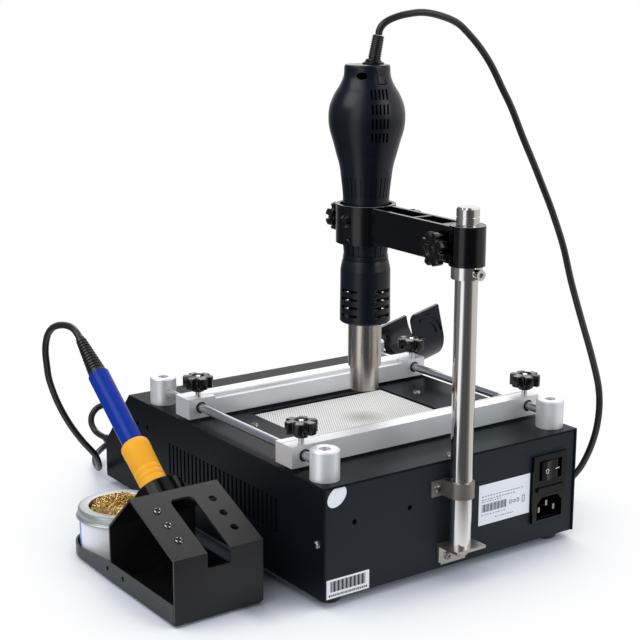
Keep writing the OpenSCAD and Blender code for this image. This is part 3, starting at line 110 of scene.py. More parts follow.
# The iron and its stand. The slope is given by the Y and Z of its upper and its lower edge
IRON_FOOT = Vector((168, 50.45, 53.17))
IRON_TILT = math.radians(53)
IRON_SEAT = 10.3
TUBE_LENGTH = 104
STAND_SLOPE = ((62, 68.5), (118, 45))
TIP_X = 188.5
TIP_STEP = 13.2
TIN = Vector((168, -14.25, 3.4))
TIN_NECK = 24.1
WOOL_SEED = 7
WOOL_RADIUS = 19.4
WOOL_TOP = 36.0
WOOL_FALL = 6.6

# Hand knobs of the arm: place in the arm's frame, turn in degrees, width, height and length of the shank
HAND_KNOBS = (
    ("rod_knob", (11.6, -14, 223.8), (0, 90, 0), 24, 8, 26.5),
    ("ring_knob", (-11.6, -79.6, 226.8), (0, -90, 0), 24, 8, 19.6),
    ("nose_knob", (0, -140.6, 225.5), (90, 0, 0), 22, 10, 10.5),
)

# Cord routes, the same as in the part's source
CORD_STEPS = 6
GUN_ROUTE = [
    (-6.1, 48.3, 354.2), (-6.6, 48.7, 357.6), (-9, 50, 361.6), (-14.5, 52, 365), (-24, 55, 367.8),
    (-37, 58, 369), (-51, 60, 366.5), (-65, 61, 361.5), (-76, 61.6, 353.2), (-86, 63, 343),
    (-95, 64.5, 331), (-104, 66, 315.6), (-112, 68, 301), (-121, 71, 280), (-129, 74, 262),
    (-136, 77, 245), (-143, 81, 226), (-150, 87, 200), (-155, 92, 173), (-158, 101, 146),
    (-160, 112, 118), (-160.5, 120, 94), (-160, 120.5, 70), (-159, 114, 46), (-158, 102, 25),
    (-157, 84, 11), (-156, 60, 4), (-155, 30, 2.6), (-154, -10, 2.6), (-153, -55, 2.6),
    (-150, -100, 2.6), (-141, -140, 2.6), (-122, -172, 2.6), (-92, -192, 2.6), (-55, -200, 2.6),
    (-20, -202, 3.5), (12, -201, 8), (38, -199, 18), (58, -197, 31), (73, -195, 43), (84, -194.5, 48.5),
    (93, -195, 47.5), (98, -196, 42), (99.5, -195, 35.5), (98.8, -190.5, 30), (98, -184.5, 28),
    (98, -177.5, 28), (98, -170.5, 28),
]
IRON_ROUTE = [
    (168, -68.8, 143), (168.2, -74, 146.4), (168.6, -81, 148.4), (169.2, -91, 148), (170, -102, 145.4),
    (170.3, -111, 141), (170.5, -118, 134), (170, -123, 123), (168, -126, 110), (165, -129, 97),
    (157, -134, 78), (148, -135, 60), (138, -134, 44), (126, -136, 29), (118, -146, 16),
    (112, -160, 9), (106, -177, 7), (98, -192, 8), (87, -199.5, 11), (78, -198, 15.5), (73, -193.5, 19.5),
    (72, -187, 21), (72, -181.5, 21), (72, -176, 21),
]


# Measures

def mm(*values):
    """Millimetres to a vector in metres."""
    return Vector(values) * MM


def at(x, y, z):
    """A move, in millimetres."""
    return Matrix.Translation(mm(x, y, z))


def turn(angle, axis):
    """A turn, in degrees."""
    return Matrix.Rotation(math.radians(angle), 4, axis)


def smooth_route(points, parts):
    """The route's points with evenly blended ones between them, as the part's source blends them."""
    p = [Vector(q) for q in points]
    out = []
    for i in range(len(p) - 1):
        a, b, c, d = p[max(i - 1, 0)], p[i], p[i + 1], p[min(i + 2, len(p) - 1)]
        for k in range(parts):
            t = k / parts
            out.append(0.5 * ((2 * b) + (c - a) * t + (2 * a - 5 * b + 4 * c - d) * t * t
                              + (3 * b - a - 3 * c + d) * t ** 3))
    out.append(p[-1])
    return out


# Modelling by hand, with operators

def clear_selection():
    if bpy.context.object and bpy.context.object.mode != "OBJECT":
        leave_edit()
    bpy.ops.object.select_all(action="DESELECT")


def leave_edit():
    bpy.ops.object.mode_set(mode="OBJECT")


def pick(*objects):
    clear_selection()
    for o in objects:
        o.select_set(True)
    bpy.context.view_layer.objects.active = objects[-1]


def drop(*objects):
    for o in objects:
        bpy.data.objects.remove(o)


def named(piece, name):
    piece.name = piece.data.name = name
    return piece


def settle(piece, place=None):
    """Moves a finished piece to its place and leaves its object at the origin."""
    if place is not None:
        piece.matrix_world = place
    pick(piece)
    bpy.ops.object.transform_apply(location=True, rotation=True, scale=True)
    return piece


def finish_with(piece, kind, **values):
    """Adds one modifier and applies it."""
    pick(piece)
    m = piece.modifiers.new(kind.title(), kind)
    for key, value in values.items():
        setattr(m, key, value)
    bpy.ops.object.modifier_apply(modifier=m.name)
    return piece


def shade(piece, angle=35):
    pick(piece)
    bpy.ops.object.shade_smooth_by_angle(angle=math.radians(angle))
    return piece


def turned(name, profile, steps=64, closed=False):
    """A turned piece: one vertex extruded along an outline of radius and height, then spun about Z."""
    clear_selection()
    bpy.ops.mesh.primitive_plane_add(size=MM, location=(0, 0, 0))
    piece = named(bpy.context.object, name)
    bpy.ops.object.mode_set(mode="EDIT")
    bpy.ops.mesh.select_mode(type="VERT")
    bpy.ops.mesh.select_all(action="SELECT")
    bpy.ops.mesh.merge(type="CENTER")
    last = Vector((profile[0][0], 0, profile[0][1])) * MM
    bpy.ops.transform.translate(value=last)
    outline = list(profile[1:]) + ([profile[0]] if closed else [])
    for r, z in outline:
        here = Vector((r, 0, z)) * MM
        bpy.ops.mesh.extrude_region_move(TRANSFORM_OT_translate={"value": here - last})
        last = here
    bpy.ops.mesh.select_all(action="SELECT")
    bpy.ops.mesh.spin(steps=steps, angle=math.tau, center=(0, 0, 0), axis=(0, 0, 1))
    bpy.ops.mesh.select_all(action="SELECT")
    bpy.ops.mesh.remove_doubles(threshold=1e-6)
    bpy.ops.mesh.select_all(action="SELECT")
    bpy.ops.mesh.normals_make_consistent(inside=False)
    leave_edit()
    return piece


def block(name, size, centre=(0, 0, 0), bevel=0.0, segments=2):
    """A box of the size given in millimetres, with its edges rounded."""
    clear_selection()
    bpy.ops.mesh.primitive_cube_add(size=1, location=(0, 0, 0))
    piece = named(bpy.context.object, name)
    bpy.ops.object.mode_set(mode="EDIT")
    bpy.ops.mesh.select_all(action="SELECT")
    bpy.ops.transform.resize(value=Vector(size) * MM)
    bpy.ops.transform.translate(value=Vector(centre) * MM)
    if bevel:
        bpy.ops.mesh.bevel(offset=bevel * MM, segments=segments)
    leave_edit()
    return piece


def drum(name, sides, radius, depth, centre=(0, 0, 0)):
    """The start of a nut or of a round hole, in millimetres."""
    clear_selection()
    bpy.ops.mesh.primitive_cylinder_add(vertices=sides, radius=radius * MM, depth=depth * MM,
                                        location=mm(*centre))
    return named(bpy.context.object, name)


def torus(name, major, minor, around, across, centre=(0, 0, 0)):
    """A round wire ring, in millimetres."""
    clear_selection()
    bpy.ops.mesh.primitive_torus_add(major_radius=major * MM, minor_radius=minor * MM, major_segments=around,
                                     minor_segments=across, location=mm(*centre))
    return named(bpy.context.object, name)


def copy_of(piece, name, place=None):
    """A copy with its own mesh."""
    new = piece.copy()
    new.data = piece.data.copy()
    named(new, name)
    bpy.context.scene.collection.objects.link(new)
    if place is not None:
        new.data.transform(place)
    return new


def copies(piece, places):
    """A copy at each place, beside the piece itself."""
    return [copy_of(piece, "Copy", place) for place in places]


def join(name, pieces):
    pick(*pieces)
    if len(pieces) > 1:
        bpy.ops.object.join()
    return named(bpy.context.object, name)


def cut_away(piece, cutter):
    """Cuts one closed shape out of another."""
    finish_with(piece, "BOOLEAN", operation="DIFFERENCE", object=cutter, solver="EXACT")
    drop(cutter)
    return piece


def select_faces(piece, test):
    """Selects the faces of a piece whose centre and normal pass a test, and leaves it in edit mode."""
    pick(piece)
    bpy.ops.object.mode_set(mode="EDIT")
    bpy.ops.mesh.select_mode(type="FACE")
    bpy.ops.mesh.select_all(action="DESELECT")
    leave_edit()
    for f in piece.data.polygons:
        f.select = bool(test(f.center, f.normal))
    bpy.ops.object.mode_set(mode="EDIT")


def step_of(centre, steps):
    """Which of a turned piece's steps a point lies in, counted round from +X."""
    return int((math.atan2(centre.y, centre.x) % math.tau) / math.tau * steps)


def press_flutes(piece, low, high, radius, every, depth):
    """Presses one step in so many of the handle's wall in, outside a radius and between two heights."""
    select_faces(piece, lambda c, n: low * MM < c.z < high * MM and c.xy.length > radius * MM
                 and step_of(c, HANDLE_STEPS) % every == 1)
    bpy.ops.mesh.inset(thickness=0.12 * MM, use_boundary=True)
    bpy.ops.transform.shrink_fatten(value=-depth * MM)
    leave_edit()


# Finishing a piece

MAT = {}

# The finish of each CAD piece that stays
PAINTED = {
    "powder": ("casing_cover", "front_panel", "base_tray"),
    # The rear panel gets a lighter copy of the powder coat, as painted light
    "rear": ("rear_panel",),
    "foot": ("rubber_feet",),
    "tile": ("ceramic_plate",),
    "steel": ("heater_pan", "iron_socket"),
    "bracket": ("rod_bracket",),
    "band": ("rod_clip",),
    "screw": ("steel_screws",),
    "fired": ("heater_tubes",),
    "core": ("transformer",),
    "board": ("control_board",),
    "window": ("display_windows",),
    "chrome": ("iron_barrel",),
    "guide": ("guide_rods",),
    "gloss": ("inlet_module", "mains_rocker", "fuse_drawer", "panel_switch_1", "panel_switch_2"),
    "contact": ("inlet_pins",),
    "moulded": ("gun_cradle", "gun_guard", "gun_fan", "iron_plug"),
    "arm": ("gun_arm",),
    "cup": ("stand_cup",),
    "rubber": ("gun_gland",),
    "aluminium": ("rear_clamp_bar", "front_clamp_bar"),
    "post": ("corner_posts",),
    "rod": ("upright_rod", "stop_collar"),
    "sleeve": ("gun_barrel", "gun_nozzle"),
    "stand": ("stand_tray", "stand_housing"),
    "knob": ("panel_dial_1", "panel_dial_2", "panel_dial_3", "panel_dial_4"),
    "blue": ("iron_tube",),
}


def dress(piece, material, body, *replaced):
    """Gives a piece its material and its body, and hides the CAD pieces that it stands for."""
    piece.data.materials.clear()
    piece.data.materials.append(MAT[material])
    if body:
        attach(piece, body)
    if replaced:
        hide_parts(*replaced)
    return piece


def fit(piece, place, material, body, *replaced, smooth=0):
    """Puts a finished piece in its place, shades it smooth below an angle, and dresses it."""
    settle(piece, place)
    if smooth:
        shade(piece, smooth)
    return dress(piece, material, body, *replaced)


def refinish(piece, material, test):
    """Gives the faces that pass a test a second material."""
    select_faces(piece, test)
    piece.data.materials.append(MAT[material])
    piece.active_material_index = 1
    bpy.ops.object.material_slot_assign()
    leave_edit()


# Places

def arm_place(x, y, z):
    """A place in the arm's own frame, whose origin is the rod and whose gun lies along -Y."""
    return Matrix.Translation(ROD * MM) @ Matrix.Rotation(ARM_TURN, 4, "Z") @ at(x, y, z)


def gun_place(z=RING_Z):
    """A place on the gun's upright axis."""
    return at(GUN.x, GUN.y, z)


def iron_place(along):
    """A place on the resting iron's axis, with +Z up the handle."""
    return Matrix.Translation(IRON_FOOT * MM) @ Matrix.Rotation(IRON_TILT, 4, "X") @ at(0, 0, along)


def panel_place(x, s, out=0.0):
    """A place on the sloped control panel, s up the slope from its lower edge, with +Z out of the panel."""
    return (at(x, SLOPE_FOOT_Y + s * math.cos(SLOPE), SLOPE_FOOT_Z + s * math.sin(SLOPE))
            @ Matrix.Rotation(SLOPE, 4, "X") @ at(0, 0, out))


def rear_place(x, z):
    """A place on the rear panel, with +Z out of it and +Y down."""
    return at(x, REAR_Y, z) @ turn(-90, "X")


# Materials

class Net:
    """A short way to add nodes to a tree."""

    def __init__(self, tree):
        self.tree = tree
        self.x = -1400

    def link(self, source, socket):
        self.tree.links.new(source, socket)

    def add(self, kind, inputs=None, **values):
        n = self.tree.nodes.new(kind)
        self.x += 40
        n.location = (self.x, 0)
        for key, value in values.items():
            setattr(n, key, value)
        for key, value in (inputs or {}).items():
            if isinstance(value, bpy.types.NodeSocket):
                self.link(value, n.inputs[key])
            else:
                n.inputs[key].default_value = value
        return n

    def use(self, name, inputs=None):
        """Places a shader node group with its own values."""
        return self.add("ShaderNodeGroup", inputs, node_tree=bpy.data.node_groups[name])

    def sum(self, kind, a, b=None):
        inputs = {i: v for i, v in enumerate((a, b)) if v is not None}
        return self.add("ShaderNodeMath", inputs, operation=kind).outputs[0]

    def most(self, *values):
        """The largest of several values."""
        top = values[0]
        for value in values[1:]:
            top = self.sum("MAXIMUM", top, value)
        return top

    def mix(self, share, a, b):
        return self.add("ShaderNodeMix", {0: share, 6: a, 7: b}, data_type="RGBA").outputs[2]

    def ramp(self, value, low, high):
        inputs = {0: value, 1: low, 2: high, 3: 0.0, 4: 1.0}
        return self.add("ShaderNodeMapRange", inputs, clamp=True).outputs[0]

    def place(self):
        """Object coordinates, which are the shared frame's."""
        return self.add("ShaderNodeTexCoord").outputs["Object"]


def rgba(c):
    return (c[0], c[1], c[2], 1.0)


def times(gain, colour):
    """A colour made lighter or darker."""
    return tuple(min(1, gain * c) for c in colour)


def group(name, inputs, outputs):
    """A shader node group with named sockets."""
    g = bpy.data.node_groups.new(name, "ShaderNodeTree")
    for label, kind, default in inputs:
        g.interface.new_socket(name=label, in_out="INPUT", socket_type=kind).default_value = default
    for label, kind in outputs:
        g.interface.new_socket(name=label, in_out="OUTPUT", socket_type=kind)
    return Net(g), g.nodes.new("NodeGroupInput").outputs, g.nodes.new("NodeGroupOutput").inputs


def grain_group():
    """Fine surface grain with a slow change of shade: colour, roughness and height."""
    n, gi, go = group("Surface Grain", [
        ("Color A", "NodeSocketColor", (0.02, 0.02, 0.02, 1)),
        ("Color B", "NodeSocketColor", (0.03, 0.03, 0.03, 1)),
        ("Grain", "NodeSocketFloat", 1500.0),
        ("Cloud", "NodeSocketFloat", 18.0),
        ("Roughness", "NodeSocketFloat", 0.4),
        ("Spread", "NodeSocketFloat", 0.1),
        ("Stretch", "NodeSocketVector", (1, 1, 1)),
    ], [("Color", "NodeSocketColor"), ("Roughness", "NodeSocketFloat"), ("Height", "NodeSocketFloat")])
    place = n.place()
    along = n.add("ShaderNodeVectorMath", {0: place, 1: gi["Stretch"]}, operation="MULTIPLY").outputs[0]
    fine = n.add("ShaderNodeTexNoise", {"Vector": along, "Scale": gi["Grain"], "Detail": 3.0}).outputs[0]
    slow = n.add("ShaderNodeTexNoise", {"Vector": place, "Scale": gi["Cloud"], "Detail": 4.0}).outputs[0]
    tone = n.sum("ADD", n.sum("MULTIPLY", fine, 0.45), n.sum("MULTIPLY", n.ramp(slow, 0.3, 0.7), 0.55))
    n.link(n.mix(tone, gi["Color A"], gi["Color B"]), go["Color"])
    swing = n.sum("MULTIPLY", n.sum("SUBTRACT", tone, 0.5), gi["Spread"])
    n.link(n.sum("ADD", gi["Roughness"], swing), go["Roughness"])
    n.link(fine, go["Height"])


def tile_group():
    """Rows of small round holes in a fired tile: a mask that is 1 in a hole."""
    n, gi, go = group("Pierced Tile", [
        ("Pitch", "NodeSocketFloat", 0.0022),
        ("Hole", "NodeSocketFloat", 0.28),
    ], [("Mask", "NodeSocketFloat")])
    rise = math.sqrt(3)
    split = n.add("ShaderNodeSeparateXYZ", {0: n.place()}).outputs
    x = n.sum("DIVIDE", split[0], gi["Pitch"])
    y = n.sum("DIVIDE", split[1], n.sum("MULTIPLY", gi["Pitch"], rise))
    far = []
    for shift in (50, 50.5):
        dx = n.sum("SUBTRACT", n.sum("FRACT", n.sum("ADD", x, shift)), 0.5)
        dy = n.sum("MULTIPLY", n.sum("SUBTRACT", n.sum("FRACT", n.sum("ADD", y, shift)), 0.5), rise)
        far.append(n.sum("SQRT", n.sum("ADD", n.sum("MULTIPLY", dx, dx), n.sum("MULTIPLY", dy, dy))))
    inside = n.sum("SUBTRACT", gi["Hole"], n.sum("MINIMUM", far[0], far[1]))
    n.link(n.ramp(inside, -0.06, 0.06), go["Mask"])


# The studio round the object, by degrees from +X: bright screens with darker room between them
SCREENS = (
    (0, (0.2, 0.2, 0.2)), (9, (1, 1, 1)), (29, (1, 1, 1)), (40, (0.16, 0.16, 0.165)),
    (52, (0.07, 0.07, 0.075)), (88, (0.07, 0.068, 0.066)), (104, (0.16, 0.155, 0.15)),
    (114, (0.54, 0.52, 0.49)), (150, (0.6, 0.585, 0.56)), (243, (0.62, 0.61, 0.6)),
    (262, (0.3, 0.3, 0.31)), (285, (0.08, 0.08, 0.085)), (308, (0.09, 0.09, 0.095)),
    (330, (0.17, 0.17, 0.175)), (352, (0.18, 0.18, 0.185)), (360, (0.2, 0.2, 0.2)),
)


def surround_group():
    """The studio as gloss shows it, by direction."""
    n, gi, go = group("Studio Surround", [("Direction", "NodeSocketVector", (0, 0, 0))],
                      [("Color", "NodeSocketColor")])
    split = n.add("ShaderNodeSeparateXYZ", {0: gi["Direction"]}).outputs
    angle = n.sum("ARCTAN2", split[1], split[0])
    share = n.sum("FRACT", n.sum("ADD", n.sum("DIVIDE", angle, math.tau), 1.0))
    ramp = n.add("ShaderNodeValToRGB", {0: share})
    line = ramp.color_ramp.elements
    while len(line) < len(SCREENS):
        line.new(0.5)
    for here, (degrees, tone) in zip(line, SCREENS):
        here.position = degrees / 360
        here.color = rgba(tone)
    n.link(ramp.outputs["Color"], go["Color"])


def shader(name, metallic=0.0, coat=0.0, coat_rough=0.1, ior=1.5, specular=0.5):
    """A material with its own nodes and the values that are the same all over it."""
    m = bpy.data.materials.new(name)
    m.use_nodes = True
    n, p = opened(m)
    for key, value in (("Metallic", metallic), ("Coat Weight", coat), ("Coat Roughness", coat_rough),
                       ("IOR", ior), ("Specular IOR Level", specular)):
        p.inputs[key].default_value = value
    return m, n, p


def opened(m):
    """A material's net and its shader."""
    return Net(m.node_tree), m.node_tree.nodes["Principled BSDF"]


def source_of(p, name):
    """What feeds one of a shader's sockets."""
    return p.inputs[name].links[0].from_socket


def grained(name, a, b, rough, spread=0.12, grain=1500.0, cloud=18.0, bump=0.05, stretch=(1, 1, 1), **kw):
    """A material of one finish, with grain in its colour, its gloss and its surface."""
    m, n, p = shader(name, **kw)
    g = n.use("Surface Grain", {"Color A": rgba(a), "Color B": rgba(b), "Roughness": rough, "Spread": spread,
                                "Grain": grain, "Cloud": cloud, "Stretch": stretch}).outputs
    n.link(g["Color"], p.inputs["Base Color"])
    n.link(g["Roughness"], p.inputs["Roughness"])
    relief = n.add("ShaderNodeBump", {"Strength": bump, "Distance": 0.0002, "Height": g["Height"]})
    n.link(relief.outputs[0], p.inputs["Normal"])
    return m


def tile_material():
    """Fired tile with rows of holes, and a painted shade on it below the gun's nozzle."""
    m = grained("Ceramic Tile", (0.84, 0.83, 0.81), (0.93, 0.92, 0.90), 0.55, cloud=30, bump=0.1)
    n, p = opened(m)
    holes = n.use("Pierced Tile", {"Pitch": 0.0019, "Hole": 0.27}).outputs[0]
    pierced = n.mix(n.sum("MULTIPLY", holes, 0.9), source_of(p, "Base Color"), (0.25, 0.23, 0.21, 1))
    # Painted shade: the tile is darkened round the point below the gun's nozzle
    flat = n.add("ShaderNodeVectorMath", {0: n.place(), 1: (1, 1, 0)}, operation="MULTIPLY").outputs[0]
    away = n.add("ShaderNodeVectorMath", {0: flat, 1: NOZZLE_SHADE_SPOT}, operation="DISTANCE").outputs["Value"]
    mark = n.sum("MULTIPLY", n.sum("SUBTRACT", 1.0, n.ramp(away, 0.002, 0.018)), 0.6)
    n.link(n.mix(mark, pierced, (0.2, 0.19, 0.18, 1)), p.inputs["Base Color"])
    relief = n.add("ShaderNodeBump", {"Strength": 0.6, "Distance": 0.0006, "Height": holes,
                                      "Normal": source_of(p, "Normal")}, invert=True)
    n.link(relief.outputs[0], p.inputs["Normal"])
    return m


def tin_material():
    """Printed sheet with one blue field on its wall, between two angles round the tin's axis."""
    white = (0.86, 0.86, 0.88)
    m = grained("Printed Tin", white, times(1.08, white), 0.3)
    n, p = opened(m)
    split = n.add("ShaderNodeSeparateXYZ", {0: n.place()}).outputs
    angle = n.sum("ARCTAN2", n.sum("SUBTRACT", split[1], TIN.y * MM), n.sum("SUBTRACT", split[0], TIN.x * MM))
    inside = n.sum("MULTIPLY", n.sum("GREATER_THAN", angle, -0.50), n.sum("LESS_THAN", angle, -0.16))
    n.link(n.mix(inside, source_of(p, "Base Color"), (0.10, 0.19, 0.72, 1)), p.inputs["Base Color"])
    return m


# Name, two shades, roughness and its spread, scale of the grain and of its clouds, strength of its bump, and
# the shader's other values
FINISHES = {
    # Painted light: the casing's powder coat, painted lighter and bluer on the rear panel for the light on
    # that side
    "rear": ("Rear Black", (0.0135, 0.0175, 0.0225), (0.018, 0.0225, 0.0285), 0.42, 0.08, 2600, 9, 0.10,
             {"ior": 1.25}),
    "stand": ("Stand Black", (0.003, 0.003, 0.0035), (0.012, 0.012, 0.0125), 0.3, 0.14, 1300, 14, 0.3,
              {"ior": 1.42}),
    "moulded": ("Moulded Black", (0.0022, 0.0034, 0.009), (0.0045, 0.0065, 0.015), 0.29, 0.12, 1900, 22, 0.06,
                {"ior": 1.4}),
    "arm": ("Arm Black", (0.0005, 0.0008, 0.0014), (0.001, 0.0015, 0.0024), 0.15, 0.06, 1500, 20, 0.02, {}),
    # Painted highlights along the arm's top edges
    "worn": ("Worn Edge", (0.2, 0.2, 0.205), (0.4, 0.4, 0.41), 0.3, 0.1, 700, 60, 0.02, {}),
    # The crown's lid: its own grey, painted lighter for the highlight on its top
    "crown": ("Crown Grey", (0.02, 0.021, 0.024), (0.04, 0.041, 0.045), 0.3, 0.1, 1500, 60, 0.05,
              {"ior": 1.6}),
    "cup": ("Cup Black", (0.0008, 0.0008, 0.001), (0.0016, 0.0016, 0.0018), 0.14, 0.06, 900, 25, 0.02,
            {"ior": 1.3}),
    "knob": ("Knob Black", (0.0015, 0.0015, 0.0018), (0.003, 0.003, 0.0033), 0.15, 0.06, 900, 30, 0.02, {}),
    "gloss": ("Gloss Black", (0.0015, 0.0018, 0.0022), (0.003, 0.0033, 0.004), 0.2, 0.08, 700, 25, 0.02,
              {"ior": 1.36}),
    "rubber": ("Cord Rubber", (0.010, 0.010, 0.011), (0.017, 0.017, 0.018), 0.33, 0.14, 1200, 40, 0.05, {}),
    "foot": ("Foot Rubber", (0.014, 0.014, 0.014), (0.024, 0.024, 0.024), 0.6, 0.1, 1600, 60, 0.15, {}),
    "post": ("Post Aluminium", (0.88, 0.885, 0.90), (0.93, 0.935, 0.95), 0.4, 0.08, 3000, 12, 0.08,
             {"metallic": 0.55}),
    "rod": ("Polished Rod", (0.80, 0.79, 0.78), (0.90, 0.89, 0.88), 0.08, 0.04, 900, 10, 0.03,
            {"stretch": (1, 1, 0.02), "metallic": 1.0}),
    "steel": ("Plain Steel", (0.50, 0.48, 0.46), (0.66, 0.64, 0.61), 0.26, 0.16, 1400, 30, 0.07,
              {"metallic": 1.0}),
    "bracket": ("Bracket Steel", (0.40, 0.37, 0.34), (0.52, 0.49, 0.45), 0.34, 0.16, 1600, 40, 0.1,
                {"metallic": 0.9}),
    "band": ("Band Steel", (0.24, 0.21, 0.18), (0.32, 0.29, 0.26), 0.36, 0.12, 1600, 40, 0.08,
             {"metallic": 0.8}),
    "screw": ("Screw Steel", (0.26, 0.25, 0.24), (0.42, 0.41, 0.39), 0.24, 0.14, 1200, 90, 0.06,
              {"metallic": 1.0}),
    "sleeve": ("Sleeve Steel", (0.50, 0.46, 0.42), (0.64, 0.60, 0.56), 0.2, 0.1, 1100, 35, 0.06,
               {"stretch": (1, 1, 0.05), "metallic": 1.0}),
    "chrome": ("Bright Steel", (0.7, 0.7, 0.7), (0.82, 0.82, 0.82), 0.1, 0.08, 800, 20, 0.02,
               {"metallic": 1.0}),
    "guide": ("Guide Rod Steel", (0.50, 0.51, 0.55), (0.60, 0.61, 0.65), 0.3, 0.08, 900, 20, 0.04,
              {"metallic": 0.85}),
    "contact": ("Contact Steel", (0.22, 0.2, 0.17), (0.4, 0.37, 0.32), 0.2, 0.1, 900, 90, 0.03,
                {"metallic": 1.0}),
    "rim": ("Tin Rim", (0.46, 0.47, 0.47), (0.52, 0.53, 0.53), 0.36, 0.06, 1200, 12, 0.02,
            {"metallic": 0.7}),
    "brass": ("Wool Brass", (0.62, 0.42, 0.13), (0.93, 0.72, 0.34), 0.24, 0.16, 500, 220, 0.04,
              {"metallic": 1.0}),
    "core": ("Core Plates", (0.12, 0.11, 0.1), (0.3, 0.27, 0.24), 0.45, 0.2, 700, 40, 0.2,
             {"stretch": (0.02, 1, 0.02), "metallic": 0.6}),
    "fired": ("Fired White", (0.7, 0.68, 0.62), (0.82, 0.8, 0.76), 0.6, 0.1, 1500, 40, 0.1, {}),
    "window": ("Display Red", (0.05, 0.004, 0.005), (0.07, 0.006, 0.007), 0.1, 0.05, 600, 20, 0.0,
               {"coat": 0.5, "coat_rough": 0.03}),
    "segment": ("Display Segment", (0.16, 0.03, 0.03), (0.2, 0.04, 0.04), 0.3, 0.05, 600, 20, 0.0, {}),
    "board": ("Board Green", (0.02, 0.14, 0.05), (0.04, 0.22, 0.09), 0.35, 0.1, 900, 60, 0.05, {}),
    "white": ("Label White", (0.86, 0.87, 0.88), (0.92, 0.93, 0.94), 0.4, 0.08, 800, 30, 0.02, {}),
    "mark": ("Mark White", (0.7, 0.7, 0.7), (0.8, 0.8, 0.8), 0.5, 0.05, 900, 40, 0.02, {}),
    "ink": ("Label Ink", (0.02, 0.02, 0.02), (0.04, 0.04, 0.04), 0.5, 0.05, 900, 40, 0.02, {}),
}


def make_materials(s):
    """Every material, by its short name. Four take their colour from the settings."""
    grain_group()
    tile_group()
    surround_group()
    m = {key: grained(*row[:-1], **row[-1]) for key, row in FINISHES.items()}
    black, silver, blue, yellow = (tuple(c) for c in (s.powder_black, s.silver, s.handle_blue, s.grip_yellow))
    m["powder"] = grained("Powder Black", black, times(1.6, black), 0.38, 0.08, 2600, 9, 0.10, ior=1.17)
    m["aluminium"] = grained("Blasted Aluminium", silver, times(1.06, silver), 0.46, 0.08, 3000, 12, 0.10,
                             metallic=0.6)
    m["blue"] = grained("Handle Blue", blue, times(1.15, blue), 0.2, 0.06, 700, 15, 0.02, ior=1.24)
    m["yellow"] = grained("Grip Yellow", times(0.95, yellow), yellow, 0.42, 0.1, 1500, 45, 0.08, ior=1.38)
    m["tile"] = tile_material()
    m["tin"] = tin_material()
    return m


# Settings

class ReworkStationSettings(bpy.types.PropertyGroup):
    powder_black: bpy.props.FloatVectorProperty(
        name="Casing", description="Colour of the powder-coated casing", subtype="COLOR",
        default=(0.0034, 0.0048, 0.0072), min=0, max=1)
    silver: bpy.props.FloatVectorProperty(
        name="Board holder", description="Colour of the bars", subtype="COLOR",
        default=(0.78, 0.785, 0.80), min=0, max=1)
    handle_blue: bpy.props.FloatVectorProperty(
        name="Iron handle", description="Colour of the iron's tube", subtype="COLOR",
        default=(0.003, 0.030, 0.29), min=0, max=1)
    grip_yellow: bpy.props.FloatVectorProperty(
        name="Iron grip", description="Colour of the iron's grip", subtype="COLOR",
        default=(1.0, 0.45, 0.014), min=0, max=1)
    gun_cord_width: bpy.props.FloatProperty(
        name="Gun cord", description="Diameter of the gun's cord", default=0.005, min=0.004, max=0.007,
        unit="LENGTH")
    iron_cord_width: bpy.props.FloatProperty(
        name="Iron cord", description="Diameter of the iron's cord", default=0.005, min=0.004, max=0.007,
        unit="LENGTH")
    knob_width: bpy.props.FloatProperty(
        name="Star knob", description="Diameter of a clamp's star knob", default=0.022, min=0.018, max=0.024,
        unit="LENGTH")
    wool_curls: bpy.props.IntProperty(
        name="Wool curls", description="Number of curls in the cleaning wool", default=520, min=100, max=900)
    key_light: bpy.props.FloatProperty(
        name="Key light", description="Power of the large soft light", default=10.0, min=0, max=40,
        unit="POWER")


class ReworkPiece:
    bl_options = {"REGISTER", "UNDO"}

    @property
    def s(self):
        return bpy.context.scene.rework_station


# The stage

# The floor's glow: how far off a surface shades it, the shares of open sky and the distances between which it
# changes, and the edges of the painted shade in the gap beside the stand, each with its axis
SHADE_REACH = 0.13
SHADE_RAMP = (0.45, 0.88)
OPEN_FLOOR = (0.4, 0.8)
SCREENS_FROM = (0.18, 0.34)
PAINTED_GAP_SHADE_EDGES = ((0, 0.100, 0.105), (0, 0.158, 0.148), (1, -0.075, -0.02), (1, 0.150, 0.085))

# Lamps: place, point aimed at, size, and power as a share of the key light's
LAMPS = (
    ("Key", (1.35, -0.25, 1.45), (0, 0, 0.1), (1.1, 1.1), 1),
    ("Fill", (-0.7, 1.6, 1.0), (0, 0, 0.15), (0.9, 1.2), 0.55),
    ("Rim", (-0.9, -1.1, 1.3), (0, 0, 0.2), (1.0, 1.0), 0.6),
)


